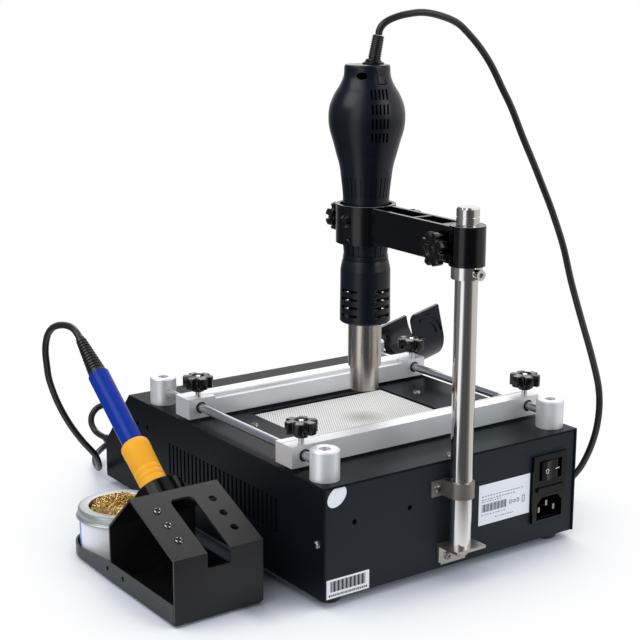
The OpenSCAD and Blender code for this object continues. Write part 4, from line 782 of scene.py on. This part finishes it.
def floor_material():
    """White floor that shows as the background and keeps the object's shadow."""
    m, n, p = shader("Floor White", specular=0.2)
    p.inputs["Roughness"].default_value = 0.7
    place = n.place()
    away = n.add("ShaderNodeVectorMath", {0: place}, operation="LENGTH").outputs["Value"]
    ray = n.add("ShaderNodeLightPath").outputs
    free = n.add("ShaderNodeAmbientOcclusion", {"Distance": SHADE_REACH}, samples=12).outputs["AO"]
    share = n.sum("ADD", n.sum("MULTIPLY", n.ramp(free, *SHADE_RAMP), 0.975), 0.02)
    share = n.most(share, n.ramp(away, *OPEN_FLOOR))
    # Painted shade: the floor is painted dark, and glows less, in the gap between the stand and the casing
    split = n.add("ShaderNodeSeparateXYZ", {0: place}).outputs
    edges = [n.ramp(split[axis], low, high) for axis, low, high in PAINTED_GAP_SHADE_EDGES]
    painted_gap_shade = edges[0]
    for edge in edges[1:]:
        painted_gap_shade = n.sum("MULTIPLY", painted_gap_shade, edge)
    share = n.sum("MULTIPLY", share, n.sum("SUBTRACT", 1.0, n.sum("MULTIPLY", painted_gap_shade, 0.95)))
    n.link(n.mix(painted_gap_shade, (0.70, 0.74, 0.86, 1), (0.06, 0.065, 0.08, 1)), p.inputs["Base Color"])
    seen = n.most(ray["Is Camera Ray"], ray["Is Transmission Ray"], ray["Is Glossy Ray"])
    far = n.sum("MULTIPLY", ray["Is Glossy Ray"], n.ramp(away, *SCREENS_FROM))
    around = n.use("Studio Surround", {0: place}).outputs[0]
    glow = n.add("ShaderNodeEmission", {"Color": n.mix(far, (1, 1, 1, 1), around), "Strength": 1.0})
    look = n.add("ShaderNodeMixShader", {0: n.sum("MULTIPLY", share, seen), 1: p.outputs[0],
                                         2: glow.outputs[0]})
    n.link(look.outputs[0], m.node_tree.nodes["Material Output"].inputs[0])
    return m


def studio_world():
    """White to the camera, plain soft light on the object, and the studio's screens in its gloss."""
    world = bpy.data.worlds.new("Studio")
    world.use_nodes = True
    n = Net(world.node_tree)
    ray = n.add("ShaderNodeLightPath").outputs
    seen = n.most(ray["Is Camera Ray"], ray["Is Transmission Ray"], ray["Is Glossy Ray"])
    around = n.use("Studio Surround", {0: n.add("ShaderNodeTexCoord").outputs["Generated"]}).outputs[0]
    plain = n.add("ShaderNodeBackground", {"Color": (0.93, 0.96, 1.0, 1), "Strength": 0.8})
    high = n.sum("ADD", n.sum("MULTIPLY", ray["Is Glossy Ray"], 0.6), 1.0)
    white = n.add("ShaderNodeBackground", {"Color": n.mix(ray["Is Glossy Ray"], (1, 1, 1, 1), around),
                                           "Strength": high})
    both = n.add("ShaderNodeMixShader", {0: seen, 1: plain.outputs[0], 2: white.outputs[0]})
    n.link(both.outputs[0], world.node_tree.nodes["World Output"].inputs[0])
    return world


def area_light(name, place, aim, size, power):
    """A large soft lamp, in metres and watts."""
    clear_selection()
    bpy.ops.object.light_add(type="AREA", location=place)
    lamp = bpy.context.object
    lamp.name = name
    lamp.data.shape = "RECTANGLE"
    lamp.data.size, lamp.data.size_y = size
    lamp.data.energy = power
    lamp.rotation_euler = (Vector(aim) - Vector(place)).to_track_quat("-Z", "Y").to_euler()


class REWORK_OT_stage(ReworkPiece, bpy.types.Operator):
    """Sets up the floor, the soft studio light and the camera"""
    bl_idname = "rework.stage"
    bl_label = "Stage"

    def execute(self, context):
        scene = context.scene
        scene.view_settings.view_transform = "Standard"
        clear_selection()
        bpy.ops.mesh.primitive_plane_add(size=14, location=(0, 0, 0))
        floor = context.object
        floor.name = "Floor"
        floor.data.materials.append(floor_material())
        scene.world = studio_world()
        for name, place, aim, size, share in LAMPS:
            area_light(name, place, aim, size, self.s.key_light * share)
        camera = bpy.data.objects.new("Camera", bpy.data.cameras.new("Camera"))
        scene.collection.objects.link(camera)
        scene.camera = camera
        camera.data.sensor_width = SENSOR
        camera.data.lens = FOCAL_PIXELS / PICTURE * SENSOR
        camera.location = mm(*CAMERA_AT)
        look = Vector(CAMERA_LOOK).to_track_quat("-Z", "Y").to_matrix()
        roll = Euler((0, 0, math.radians(CAMERA_ROLL))).to_matrix()
        camera.rotation_euler = (look @ roll).to_euler()
        camera.data.clip_start, camera.data.clip_end = 0.05, 30
        return {"FINISHED"}


# The cords

def cord_tube(name, route, width):
    """A round cord along its route, made as a bevelled curve and turned into a mesh."""
    points = [q * MM for q in smooth_route(route, CORD_STEPS)]
    curve = bpy.data.curves.new(name, "CURVE")
    curve.dimensions = "3D"
    line = curve.splines.new("POLY")
    line.points.add(len(points) - 1)
    for here, q in zip(line.points, points):
        here.co = (*q, 1)
    curve.bevel_depth = width / 2
    curve.bevel_resolution = 4
    curve.use_fill_caps = True
    piece = bpy.data.objects.new(name, curve)
    bpy.context.scene.collection.objects.link(piece)
    pick(piece)
    bpy.ops.object.convert(target="MESH")
    return shade(bpy.context.object, 60), points


class REWORK_OT_cords(ReworkPiece, bpy.types.Operator):
    """Makes the gun's cord and the iron's cord"""
    bl_idname = "rework.cords"
    bl_label = "Cords"

    def execute(self, context):
        for name, route, width, node, body, low, high, pieces in (
            ("GunCord", GUN_ROUTE, self.s.gun_cord_width, "gun_cord", "mast", 170, 345, ()),
            ("IronCord", IRON_ROUTE, self.s.iron_cord_width, "iron_cord", "iron", 30, 135, ("iron_plug",)),
        ):
            piece, points = cord_tube(name, route, width)
            dress(piece, "rubber", None, node)
            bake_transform(piece)
        return {"FINISHED"}


# The casing, the board holder and the stand

def rod_bushes():
    """Dark bushes where the guide rods leave the bars."""
    ring = turned("Ring", [(3.05, 0), (4.2, 0), (4.2, 0.25), (3.9, 0.4), (3.05, 0.4)], 32, closed=True)
    for name, body, y in BUSHES:
        places = [at(x, y + side * BAR_HALF, GUIDE_Z) @ turn(-90 * side, "X")
                  for x in SIDES for side in (1, -1)]
        dress(shade(join(name, copies(ring, places))), "knob", body)
    drop(ring)


def post_screws():
    """A screw with a cross slot near the top of each post."""
    head = turned("Head", [(0, -6), (2.2, -6), (2.2, -0.5), (3.7, -0.5), (3.7, 0.3), (3.4, 0.6),
                           (0, 0.6)], 32)
    for angle in (0, 90):
        slot = block("Slot", (4.6, 0.9, 1.6), (0, 0, 0.6))
        slot.data.transform(turn(angle, "Z"))
        cut_away(head, slot)
    places = [at(x, y, POST_SCREW_Z) @ Matrix.Rotation(0.5 + x + y, 4, "Z") for x in SIDES for y in POST_Y]
    dress(shade(join("PostScrews", copies(head, places))), "steel", "station")
    drop(head)


def spare_tips():
    """Three spare tips across the middle of the stand's slope."""
    (top_y, top_z), (foot_y, foot_z) = STAND_SLOPE
    run, fall = foot_y - top_y, top_z - foot_z
    tip = turned("Tip", [(0, -14), (2.1, -14), (2.1, 0), (2.55, 0), (2.55, 0.5), (2.3, 0.9), (1.75, 1.15),
                         (1.5, 0.9), (1.4, -1.5), (0, -1.5)], 32)
    places = [at(TIP_X, (top_y + foot_y) / 2 + TIP_STEP * i, foot_z + fall * (0.5 - TIP_STEP * i / run))
              @ Matrix.Rotation(-math.atan2(fall, run), 4, "X") for i in (-1, 0, 1)]
    dress(shade(join("SpareTips", copies(tip, places))), "screw", "station", "spare_tips")
    drop(tip)


class REWORK_OT_casing(ReworkPiece, bpy.types.Operator):
    """Finishes the CAD pieces, and adds the bars' bushes, the posts' screws and the spare tips"""
    bl_idname = "rework.casing"
    bl_label = "Casing"

    def execute(self, context):
        for material, names in PAINTED.items():
            for name in names:
                for slot in NODES[name].material_slots:
                    slot.material = MAT[material]
        rod_bushes()
        post_screws()
        spare_tips()
        return {"FINISHED"}


# The labels

# A label's thickness, the rating label's line through its bars and boxes, and the width of a box's frame
LABEL_THICK = 0.14
LABEL_MIDDLE = 2.6
FRAME_LINE = 0.45

# Rows of dashes on the rating label: height, start, number, step and longest dash
DASHES = ((-5.9, 20, 15, 2.6, 1.6), (-3.6, 20, 12, 2.6, 1.7), (-1.9, 20, 8, 2.3, 1.4),
          (7.4, 20, 9, 2.5, 1.5), (10.6, 8, 8, 2.3, 1.4))

# Empty boxes on the rating label: place, width and height
BOXES = ((-5.5, 1.6, 2.4), (-9, 2.2, 1.6), (-12.5, 1.6, 2.4), (-17.5, 2, 4.6))


def label(name, width, height, place):
    """A blank label."""
    plain = block(name, (width, height, LABEL_THICK), (0, 0, LABEL_THICK / 2), 0.05, 1)
    fit(plain, rear_place(*place), "white", "station")


def printed(width, height, x, y):
    """One printed bar on a label."""
    return block("Bar", (width, height, 0.1), (x, y, 0.16))


def boxed(x, w, h):
    """An empty printed box."""
    y = LABEL_MIDDLE
    return [printed(w, FRAME_LINE, x, y - h / 2), printed(w, FRAME_LINE, x, y + h / 2),
            printed(FRAME_LINE, h, x - w / 2, y), printed(FRAME_LINE, h, x + w / 2, y)]


class REWORK_OT_labels(ReworkPiece, bpy.types.Operator):
    """Puts labels with plain bars and dashes, and a blank seal, on the rear panel"""
    bl_idname = "rework.labels"
    bl_label = "Labels"

    def execute(self, context):
        label("RatingLabel", 47, 29, RATING_LABEL)
        rules = [printed(longest - 0.3 * (i * 5 % 3), 0.55, first - i * step, y)
                 for y, first, many, step, longest in DASHES for i in range(many)]
        rules += [printed(0.35 + 0.25 * (i * 7 % 3), 5.6, 20.4 - i * 1.08, LABEL_MIDDLE) for i in range(21)]
        for box in BOXES:
            rules += boxed(*box)
        fit(join("RatingRules", rules), rear_place(*RATING_LABEL), "ink", "station")
        label("StripLabel", 34, 13, STRIP_LABEL)
        bars = [printed(0.26 + 0.2 * (i * 5 % 4), 7.2, -13.6 + i * 0.8, -1.5) for i in range(35)]
        bars += [printed(1.1 - 0.25 * (i * 3 % 2), 1.5, -14.6 + i * 1.62, 4.4) for i in range(19)]
        fit(join("StripBars", bars), rear_place(*STRIP_LABEL), "ink", "station")
        seal = turned("RoundSeal", [(0, 0), (8.2, 0), (8.2, 0.1), (8.0, 0.16), (0, 0.16)], 48)
        place = rear_place(*ROUND_SEAL) @ turn(38, "Z") @ Matrix.Diagonal((1, 0.72, 1, 1))
        fit(seal, place, "white", "station", smooth=35)
        return {"FINISHED"}


# The controls

# The seven bars of a digit: place, and whether the bar lies flat
SEGMENTS = ((0, 5, True), (0, 0, True), (0, -5, True), (-2.6, 2.5, False), (2.6, 2.5, False),
            (-2.6, -2.5, False), (2.6, -2.5, False))
DIGIT_STEP = 13
DIAL_SWEEP = 150
ROCKER_REST = -8
ROCKER_FACE = 4.05


class REWORK_OT_controls(ReworkPiece, bpy.types.Operator):
    """Marks the dials, the displays and the mains rocker"""
    bl_idname = "rework.controls"
    bl_label = "Controls"

    def execute(self, context):
        ticks = []
        for x in DIAL_X:
            for i in range(11):
                tick = block("Tick", (0.6, 2.2 if i % 5 == 0 else 1.4, 0.12), (0, 12.4, 0.06))
                tick.data.transform(turn(DIAL_SWEEP - 30 * i, "Z"))
                tick.data.transform(panel_place(x, DIAL_UP))
                ticks.append(tick)
        dress(join("DialScale", ticks), "mark", "station")
        for i, x in enumerate(DIAL_X, 1):
            pointer = block("DialPointer%d" % i, (1.0, 5.2, 0.5), (0, 3.4, 13.0), 0.1, 1)
            pointer.data.transform(panel_place(x, DIAL_UP))
            dress(pointer, "mark", "dial_%d" % i)
        up = math.hypot(SLOPE_RISE, SLOPE_RUN) - DISPLAY_DOWN
        for k, x in enumerate(DISPLAY_X, 1):
            bars = [block("Segment", (4.2, 0.9, 0.1) if flat else (0.9, 4.0, 0.1), (middle + dx, dy, 0.06))
                    for middle in (-DIGIT_STEP, 0, DIGIT_STEP) for dx, dy, flat in SEGMENTS]
            fit(join("DisplayDigits%d" % k, bars), panel_place(x, up, 1.0), "segment", "station")
        face = rear_place(*ROCKER) @ turn(ROCKER_REST, "Y")
        stroke = block("RockerStroke", (4.2, 0.55, 0.3), (-5.4, 0, ROCKER_FACE), 0.05, 1)
        fit(stroke, face, "mark", "rocker")
        ring = settle(torus("RockerRing", 1.5, 0.25, 32, 8, (5.6, 0, ROCKER_FACE)))
        fit(ring, face, "mark", "rocker", smooth=35)
        return {"FINISHED"}


# The knobs

def lobed_knob(name, width, height, lobes, steps, depth):
    """A moulded knob whose lobes are pulled out of a drum and rounded."""
    r = width / 2 / MM
    knob = turned(name, [(0, 0.12 * height), (0.72 * r, 0.12 * height), (0.72 * r, 0.92 * height),
                         (0.5 * r, 0.98 * height), (0.42 * r, height), (0.36 * r, height - 1.6),
                         (0.2 * r, height - 1.9), (0.18 * r, height - 0.9), (0, height - 0.9)], steps)
    per = steps // lobes
    for i in range(lobes):
        def on_lobe(c, n, i=i):
            if abs(n.z) > 0.3 or c.xy.length < 0.68 * r * MM:
                return False
            k = step_of(c, steps)
            return k // per == i and 1 <= k % per < per - 1
        select_faces(knob, on_lobe)
        a = math.tau * (i + 0.5) / lobes
        bpy.ops.mesh.extrude_region_move(TRANSFORM_OT_translate={
            "value": Vector((math.cos(a), math.sin(a), 0)) * depth * MM})
        leave_edit()
    finish_with(knob, "BEVEL", width=0.55 * MM, segments=2, limit_method="ANGLE",
                angle_limit=math.radians(28))
    return shade(knob, 50)


def shank_with_nut(name, length):
    """A hand knob's threaded shank, with a nut behind the arm where the shank goes through it."""
    shank = turned(name, [(0, -length), (2, -length), (2, 0), (0, 0)], 24)
    if length > 20:
        nut = finish_with(drum("Nut", 6, 4, 3.3, (0, 0, -23.55)), "BEVEL", width=0.35 * MM, segments=2,
                          limit_method="ANGLE")
        shank = join(name, [settle(nut), shank])
    return shank


class REWORK_OT_knobs(ReworkPiece, bpy.types.Operator):
    """Makes the star knobs of the clamps and the hand knobs of the arm"""
    bl_idname = "rework.knobs"
    bl_label = "Knobs"

    def execute(self, context):
        star = lobed_knob("StarKnob", self.s.knob_width, 10, 6, 48, 3.0)
        skirt = turned("Skirt", [(0, -1.6), (4.4, -1.6), (4.4, 0), (7.2, 1.6), (0, 1.6)], 32)
        stud = turned("Stud", [(0, -10.1), (2, -10.1), (2, 9.1), (1.7, 9.6), (0.9, 9.9), (0, 9.95)], 24)
        star = join("StarKnob", [skirt, star])
        for k, (x, y) in enumerate([(x, y) for y in STAR_Y for x in SIDES], 1):
            place = at(x, y, STAR_Z) @ Matrix.Rotation(0.3 * k, 4, "Z")
            node = "clamp_knob_%d" % k
            dress(copy_of(star, "StarKnob%d" % k, place), "knob", node, node)
            dress(shade(copy_of(stud, "StarStud%d" % k, place)), "chrome", node)
        drop(star, stud)
        for node, where, tipped, wide, high, length in HAND_KNOBS:
            title = node.title().replace("_", "")
            knob = lobed_knob(title, wide * MM, high, 8, 64, 2.6)
            neck = turned("Neck", [(0, -1.5), (4.6, -1.5), (4.6, 0), (7, 1.4), (0, 1.4)], 32)
            place = arm_place(*where) @ Euler([math.radians(q) for q in tipped]).to_matrix().to_4x4()
            fit(join(title, [neck, knob]), place, "knob", node, node)
            fit(shank_with_nut(title + "Shank", length), place, "steel", node, smooth=35)
        return {"FINISHED"}


# The hot-air gun. Outlines are radius and height from the ring's middle

WALL = 2.2
HANDLE_LINE = [(15.2, -25.5), (15.8, -16), (16.2, -13.5), (16.2, 13.5), (16.3, 20), (17.5, 31), (18.8, 40),
               (21, 48), (23.4, 57), (25.7, 65), (26.5, 73), (25.7, 81), (22.5, 89), (18.8, 95), (16.3, 101),
               (15.8, 107)]
NECK_RINGS = [(15.3, -25.5), (15.3, -25.1), (16.0, -24.9), (16.1, -24.1), (15.4, -23.9), (15.3, -23.3),
              (15.8, -23.1), (15.8, -22.3), (15.2, -22.1)]
CROWN_LINE = [(15.6, 108.2), (15.3, 108.7), (14.8, CROWN_UP), (6, CROWN_UP), (0, CROWN_UP)]


def gun_handle():
    """The moulded handle: its wall, flutes, rows of slots, side hole and latch groove."""
    line = smooth_route([(r, 0, z) for r, z in HANDLE_LINE], 5)
    outer = NECK_RINGS + [(q.x, q.z) for q in line if q.z > -21.8]
    outer[-1] = (outer[-1][0], 107.4)
    inner = [(0, 105.6), (12.6, 105.6)] + [(q.x - WALL, q.z) for q in reversed(line) if -24 < q.z < 100]
    inner.append((outer[0][0] - WALL, outer[0][1]))
    handle = turned("GunHandle", outer + CROWN_LINE + inner, HANDLE_STEPS, closed=True)
    press_flutes(handle, 19, 33, 15.4, 4, 0.5)
    press_flutes(handle, -21.8, -12.6, 14.6, 5, 0.6)
    slot = block("Slot", (20, 1.35, 6.8), bevel=0.35)
    (side, up), (across, rise) = SLOT_FIRST, SLOT_STEP
    places = [turn(SLOT_TURN, "Z") @ at(25, side + across * i, up + rise * row)
              for row in range(SLOT_ROWS) for i in range(SLOTS_IN_ROW)]
    cut_away(handle, join("Slots", copies(slot, places)))
    drop(slot)
    hole = drum("Hole", 32, 2.5, 8)
    hole.data.transform(turn(40, "Z") @ at(17, 0, 102) @ turn(90, "Y") @ Matrix.Diagonal((1, 1.5, 1, 1)))
    cut_away(handle, hole)
    groove = block("LatchGroove", (3.4, 7.4, 7), bevel=0.3)
    groove.data.transform(turn(LATCH_TURN, "Z") @ at(17.4, 0, 99.7))
    cut_away(handle, groove)
    fit(handle, gun_place(), "moulded", "arm", "gun_handle", smooth=40)
    # The crown's flat top: a grey lid, painted lighter for its highlight
    refinish(handle, "crown", lambda c, n: c.z > (RING_Z + CROWN_UP - 0.1) * MM and n.z > 0.9)


def arm_edge_highlights():
    """Painted highlights: bright strips along the top edges of the arm, its ring and its boss."""
    rim = turned("Rim", [(20.3, 0), (20.95, 0), (20.95, 0.12), (20.3, 0.12)], 96, closed=True)
    rim.data.transform(at(0, -113.6, 239.0))
    boss = turned("Rim", [(11.3, 0), (11.75, 0), (11.75, 0.12), (11.3, 0.12)], 72, closed=True)
    boss.data.transform(at(0, 0, 239.8))
    strips = [block("Strip", (0.55, 77, 0.12), (x, -52, ARM_TOP)) for x in (9.65, -7.35)]
    fit(join("ArmEdges", [rim, boss] + strips), arm_place(0, 0, 0), "worn", "arm")


def gun_relief(foot):
    """The ribbed relief of the gun's cord."""
    rings = [(0, 1.6), (4.0, 1.6), (4.0, 4.4)]
    for i in range(12):
        z = 4.5 + i * 1.22
        r = 4.6 - 0.03 * i
        rings += [(r - 0.6, z), (r - 0.1, z + 0.12), (r, z + 0.36), (r - 0.1, z + 0.6), (r - 0.6, z + 0.72)]
    rings += [(3.9, 19.3), (3.6, 19.7), (0, 19.7)]
    fit(turned("GunRelief", rings, 48), foot @ turn(10, "Y"), "rubber", "arm", "gun_relief", smooth=35)


class REWORK_OT_gun(ReworkPiece, bpy.types.Operator):
    """Makes the gun's handle with its latch, disc and cord relief, the arm's screw, and the painted
    highlights on the arm's edges
    """
    bl_idname = "rework.gun"
    bl_label = "Hot-air gun"

    def execute(self, context):
        gun_handle()
        latch = block("GunLatch", (1.7, 6.2, 5.8), bevel=0.4)
        latch.data.transform(gun_place() @ turn(LATCH_TURN, "Z") @ at(16.5, -0.5, 99.2) @ turn(-17, "Y"))
        dress(shade(latch), "moulded", "arm")
        bolt = turned("RingScrew", [(0, -1.5), (2.6, -1.5), (2.6, 0.9), (2.3, 1.5), (1.5, 1.9), (1.2, 1.1),
                                    (0, 1.1)], 24)
        fit(bolt, gun_place(RING_SCREW_Z) @ turn(17.5, "Z") @ at(20.6, 0, 0) @ turn(90, "Y"), "gloss", "arm",
            smooth=35)
        arm_edge_highlights()
        plate = turned("BulkheadPlate", [(0, 57), (22, 57), (22, 59.5), (6, 59.5), (6, 66), (1.5, 66),
                                         (1.5, 77), (0, 77)], 48)
        fit(plate, gun_place(), "moulded", "arm", smooth=35)
        foot = gun_place(RING_Z + CROWN_UP) @ turn(145, "Z") @ at(4, 0, 0)
        disc = turned("CrownDisc", [(0, 0.02), (7.3, 0.02), (7.5, 0.3), (7.5, 1.1), (7.1, 1.4), (5.9, 2.0),
                                    (5.2, 3.0), (4.8, 3.7), (0, 3.7)], 64)
        fit(disc, foot, "gloss", "arm", smooth=35)
        gun_relief(foot)
        return {"FINISHED"}


# The iron and its tin

class REWORK_OT_iron(ReworkPiece, bpy.types.Operator):
    """Makes the iron's moulded grip and its cord relief"""
    bl_idname = "rework.iron"
    bl_label = "Soldering iron"

    def execute(self, context):
        line = [(4.45, 0), (13.4, 0), (13.9, 0.5), (13.9, 1.3), (13.2, 1.9), (10.8, 3.6), (9.7, 5.6),
                (9.4, 8)]
        for z in (10.5, 14.5, 19):
            line += [(9.6, z), (9.42, z + 0.4), (9.42, z + 0.7), (9.65, z + 1.1)]
        line += [(9.8, 33.6), (10.05, 34.2), (10.05, 39.4), (9.7, 41), (8.8, 42), (7.55, 42), (7.55, 8),
                 (4.45, 8)]
        grip = turned("IronGrip", line, 72, closed=True)
        fit(grip, iron_place(IRON_SEAT), "yellow", "iron", "iron_grip", smooth=35)
        rings = [(0, -6), (5.9, -6), (5.9, 0), (6.3, 0.2), (6.3, 3.4)]
        for i in range(11):
            z = 4.2 + i * 2.6
            r = 6.15 - 0.235 * i
            rings += [(r - 0.7, z), (r, z + 0.3), (r, z + 1.5), (r - 0.7, z + 1.8)]
        rings += [(3.2, 34), (3.0, 34.7), (0, 34.7)]
        relief = turned("IronRelief", rings, 48)
        fit(relief, iron_place(IRON_SEAT + TUBE_LENGTH), "rubber", "iron", "iron_relief", smooth=35)
        return {"FINISHED"}


class REWORK_OT_tin(ReworkPiece, bpy.types.Operator):
    """Makes the cleaning tin and the curls of its wool"""
    bl_idname = "rework.tin"
    bl_label = "Cleaning tin"

    def execute(self, context):
        wall = [(0, 0), (27.6, 0), (28.4, 0.8), (28.4, 23.5), (28.1, 24.0), (28.4, 24.4), (29.9, 24.4),
                (30.5, 24.9), (30.5, 25.5), (30.0, 26.1), (29.3, 26.4), (29.0, 26.7), (29.2, 27.2),
                (29.2, 30.6), (28.8, 31.5), (28.0, 32), (22.6, 32), (21.9, 31.8), (21.6, 31.4), (21.6, 31.0),
                (27.2, 30.9), (27.2, 1), (0, 1)]
        foot = Matrix.Translation(TIN * MM)
        tin = fit(turned("CleaningTin", wall, 96), foot, "tin", "tin", "cleaning_tin", smooth=30)
        refinish(tin, "rim", lambda c, n: c.z > (TIN.z + TIN_NECK) * MM)
        # The wool: a bed with curls strewn on it, thicker in the middle
        rng = random.Random(WOOL_SEED)
        bed = turned("WoolBed", [(0, 1), (26.4, 1), (26.4, 27), (20.6, 29.5), (14, 33), (0, 35)], 48)
        curls = [settle(bed, foot)]
        curl = torus("Curl", 2.6, 0.32, 14, 4)
        for _ in range(self.s.wool_curls):
            a, q = rng.uniform(0, math.tau), math.sqrt(rng.random())
            r = WOOL_RADIUS * q
            z = WOOL_TOP - WOOL_FALL * q * q + rng.uniform(-1.6, 0.8)
            lean = Euler((rng.uniform(0, math.pi), rng.uniform(0, math.pi), rng.uniform(0, math.pi)))
            big = rng.uniform(0.45, 0.95)
            place = Matrix.Translation((TIN + Vector((r * math.cos(a), r * math.sin(a), z))) * MM)
            place = place @ lean.to_matrix().to_4x4() @ Matrix.Diagonal((big, big * 0.8, big, 1))
            curls.append(copy_of(curl, "Curl", place))
        drop(curl)
        dress(shade(join("BrassWool", curls), 60), "brass", "tin", "brass_wool")
        return {"FINISHED"}


# The sidebar panel and the run

class REWORK_PT_panel(bpy.types.Panel):
    """Lists the pieces of the rework station"""
    bl_idname = "REWORK_PT_panel"
    bl_label = "Rework Station"
    bl_space_type = "VIEW_3D"
    bl_region_type = "UI"
    bl_category = "Rework Station"

    def draw(self, context):
        s = context.scene.rework_station
        for name in s.bl_rna.properties.keys():
            if name not in ("rna_type", "name"):
                self.layout.prop(s, name)
        for piece in PIECES:
            self.layout.operator(piece.bl_idname)


PIECES = (REWORK_OT_stage, REWORK_OT_cords, REWORK_OT_casing, REWORK_OT_labels, REWORK_OT_controls,
          REWORK_OT_knobs, REWORK_OT_gun, REWORK_OT_iron, REWORK_OT_tin)
CLASSES = (ReworkStationSettings, *PIECES, REWORK_PT_panel)


def register():
    for c in CLASSES:
        bpy.utils.register_class(c)
    bpy.types.Scene.rework_station = bpy.props.PointerProperty(type=ReworkStationSettings)


def unregister():
    del bpy.types.Scene.rework_station
    for c in reversed(CLASSES):
        bpy.utils.unregister_class(c)


def main():
    register()
    MAT.update(make_materials(bpy.context.scene.rework_station))
    for piece in PIECES:
        group_name, operator_name = piece.bl_idname.split(".")
        getattr(getattr(bpy.ops, group_name), operator_name)()
    clear_selection()


if __name__ == "__main__":
    main()
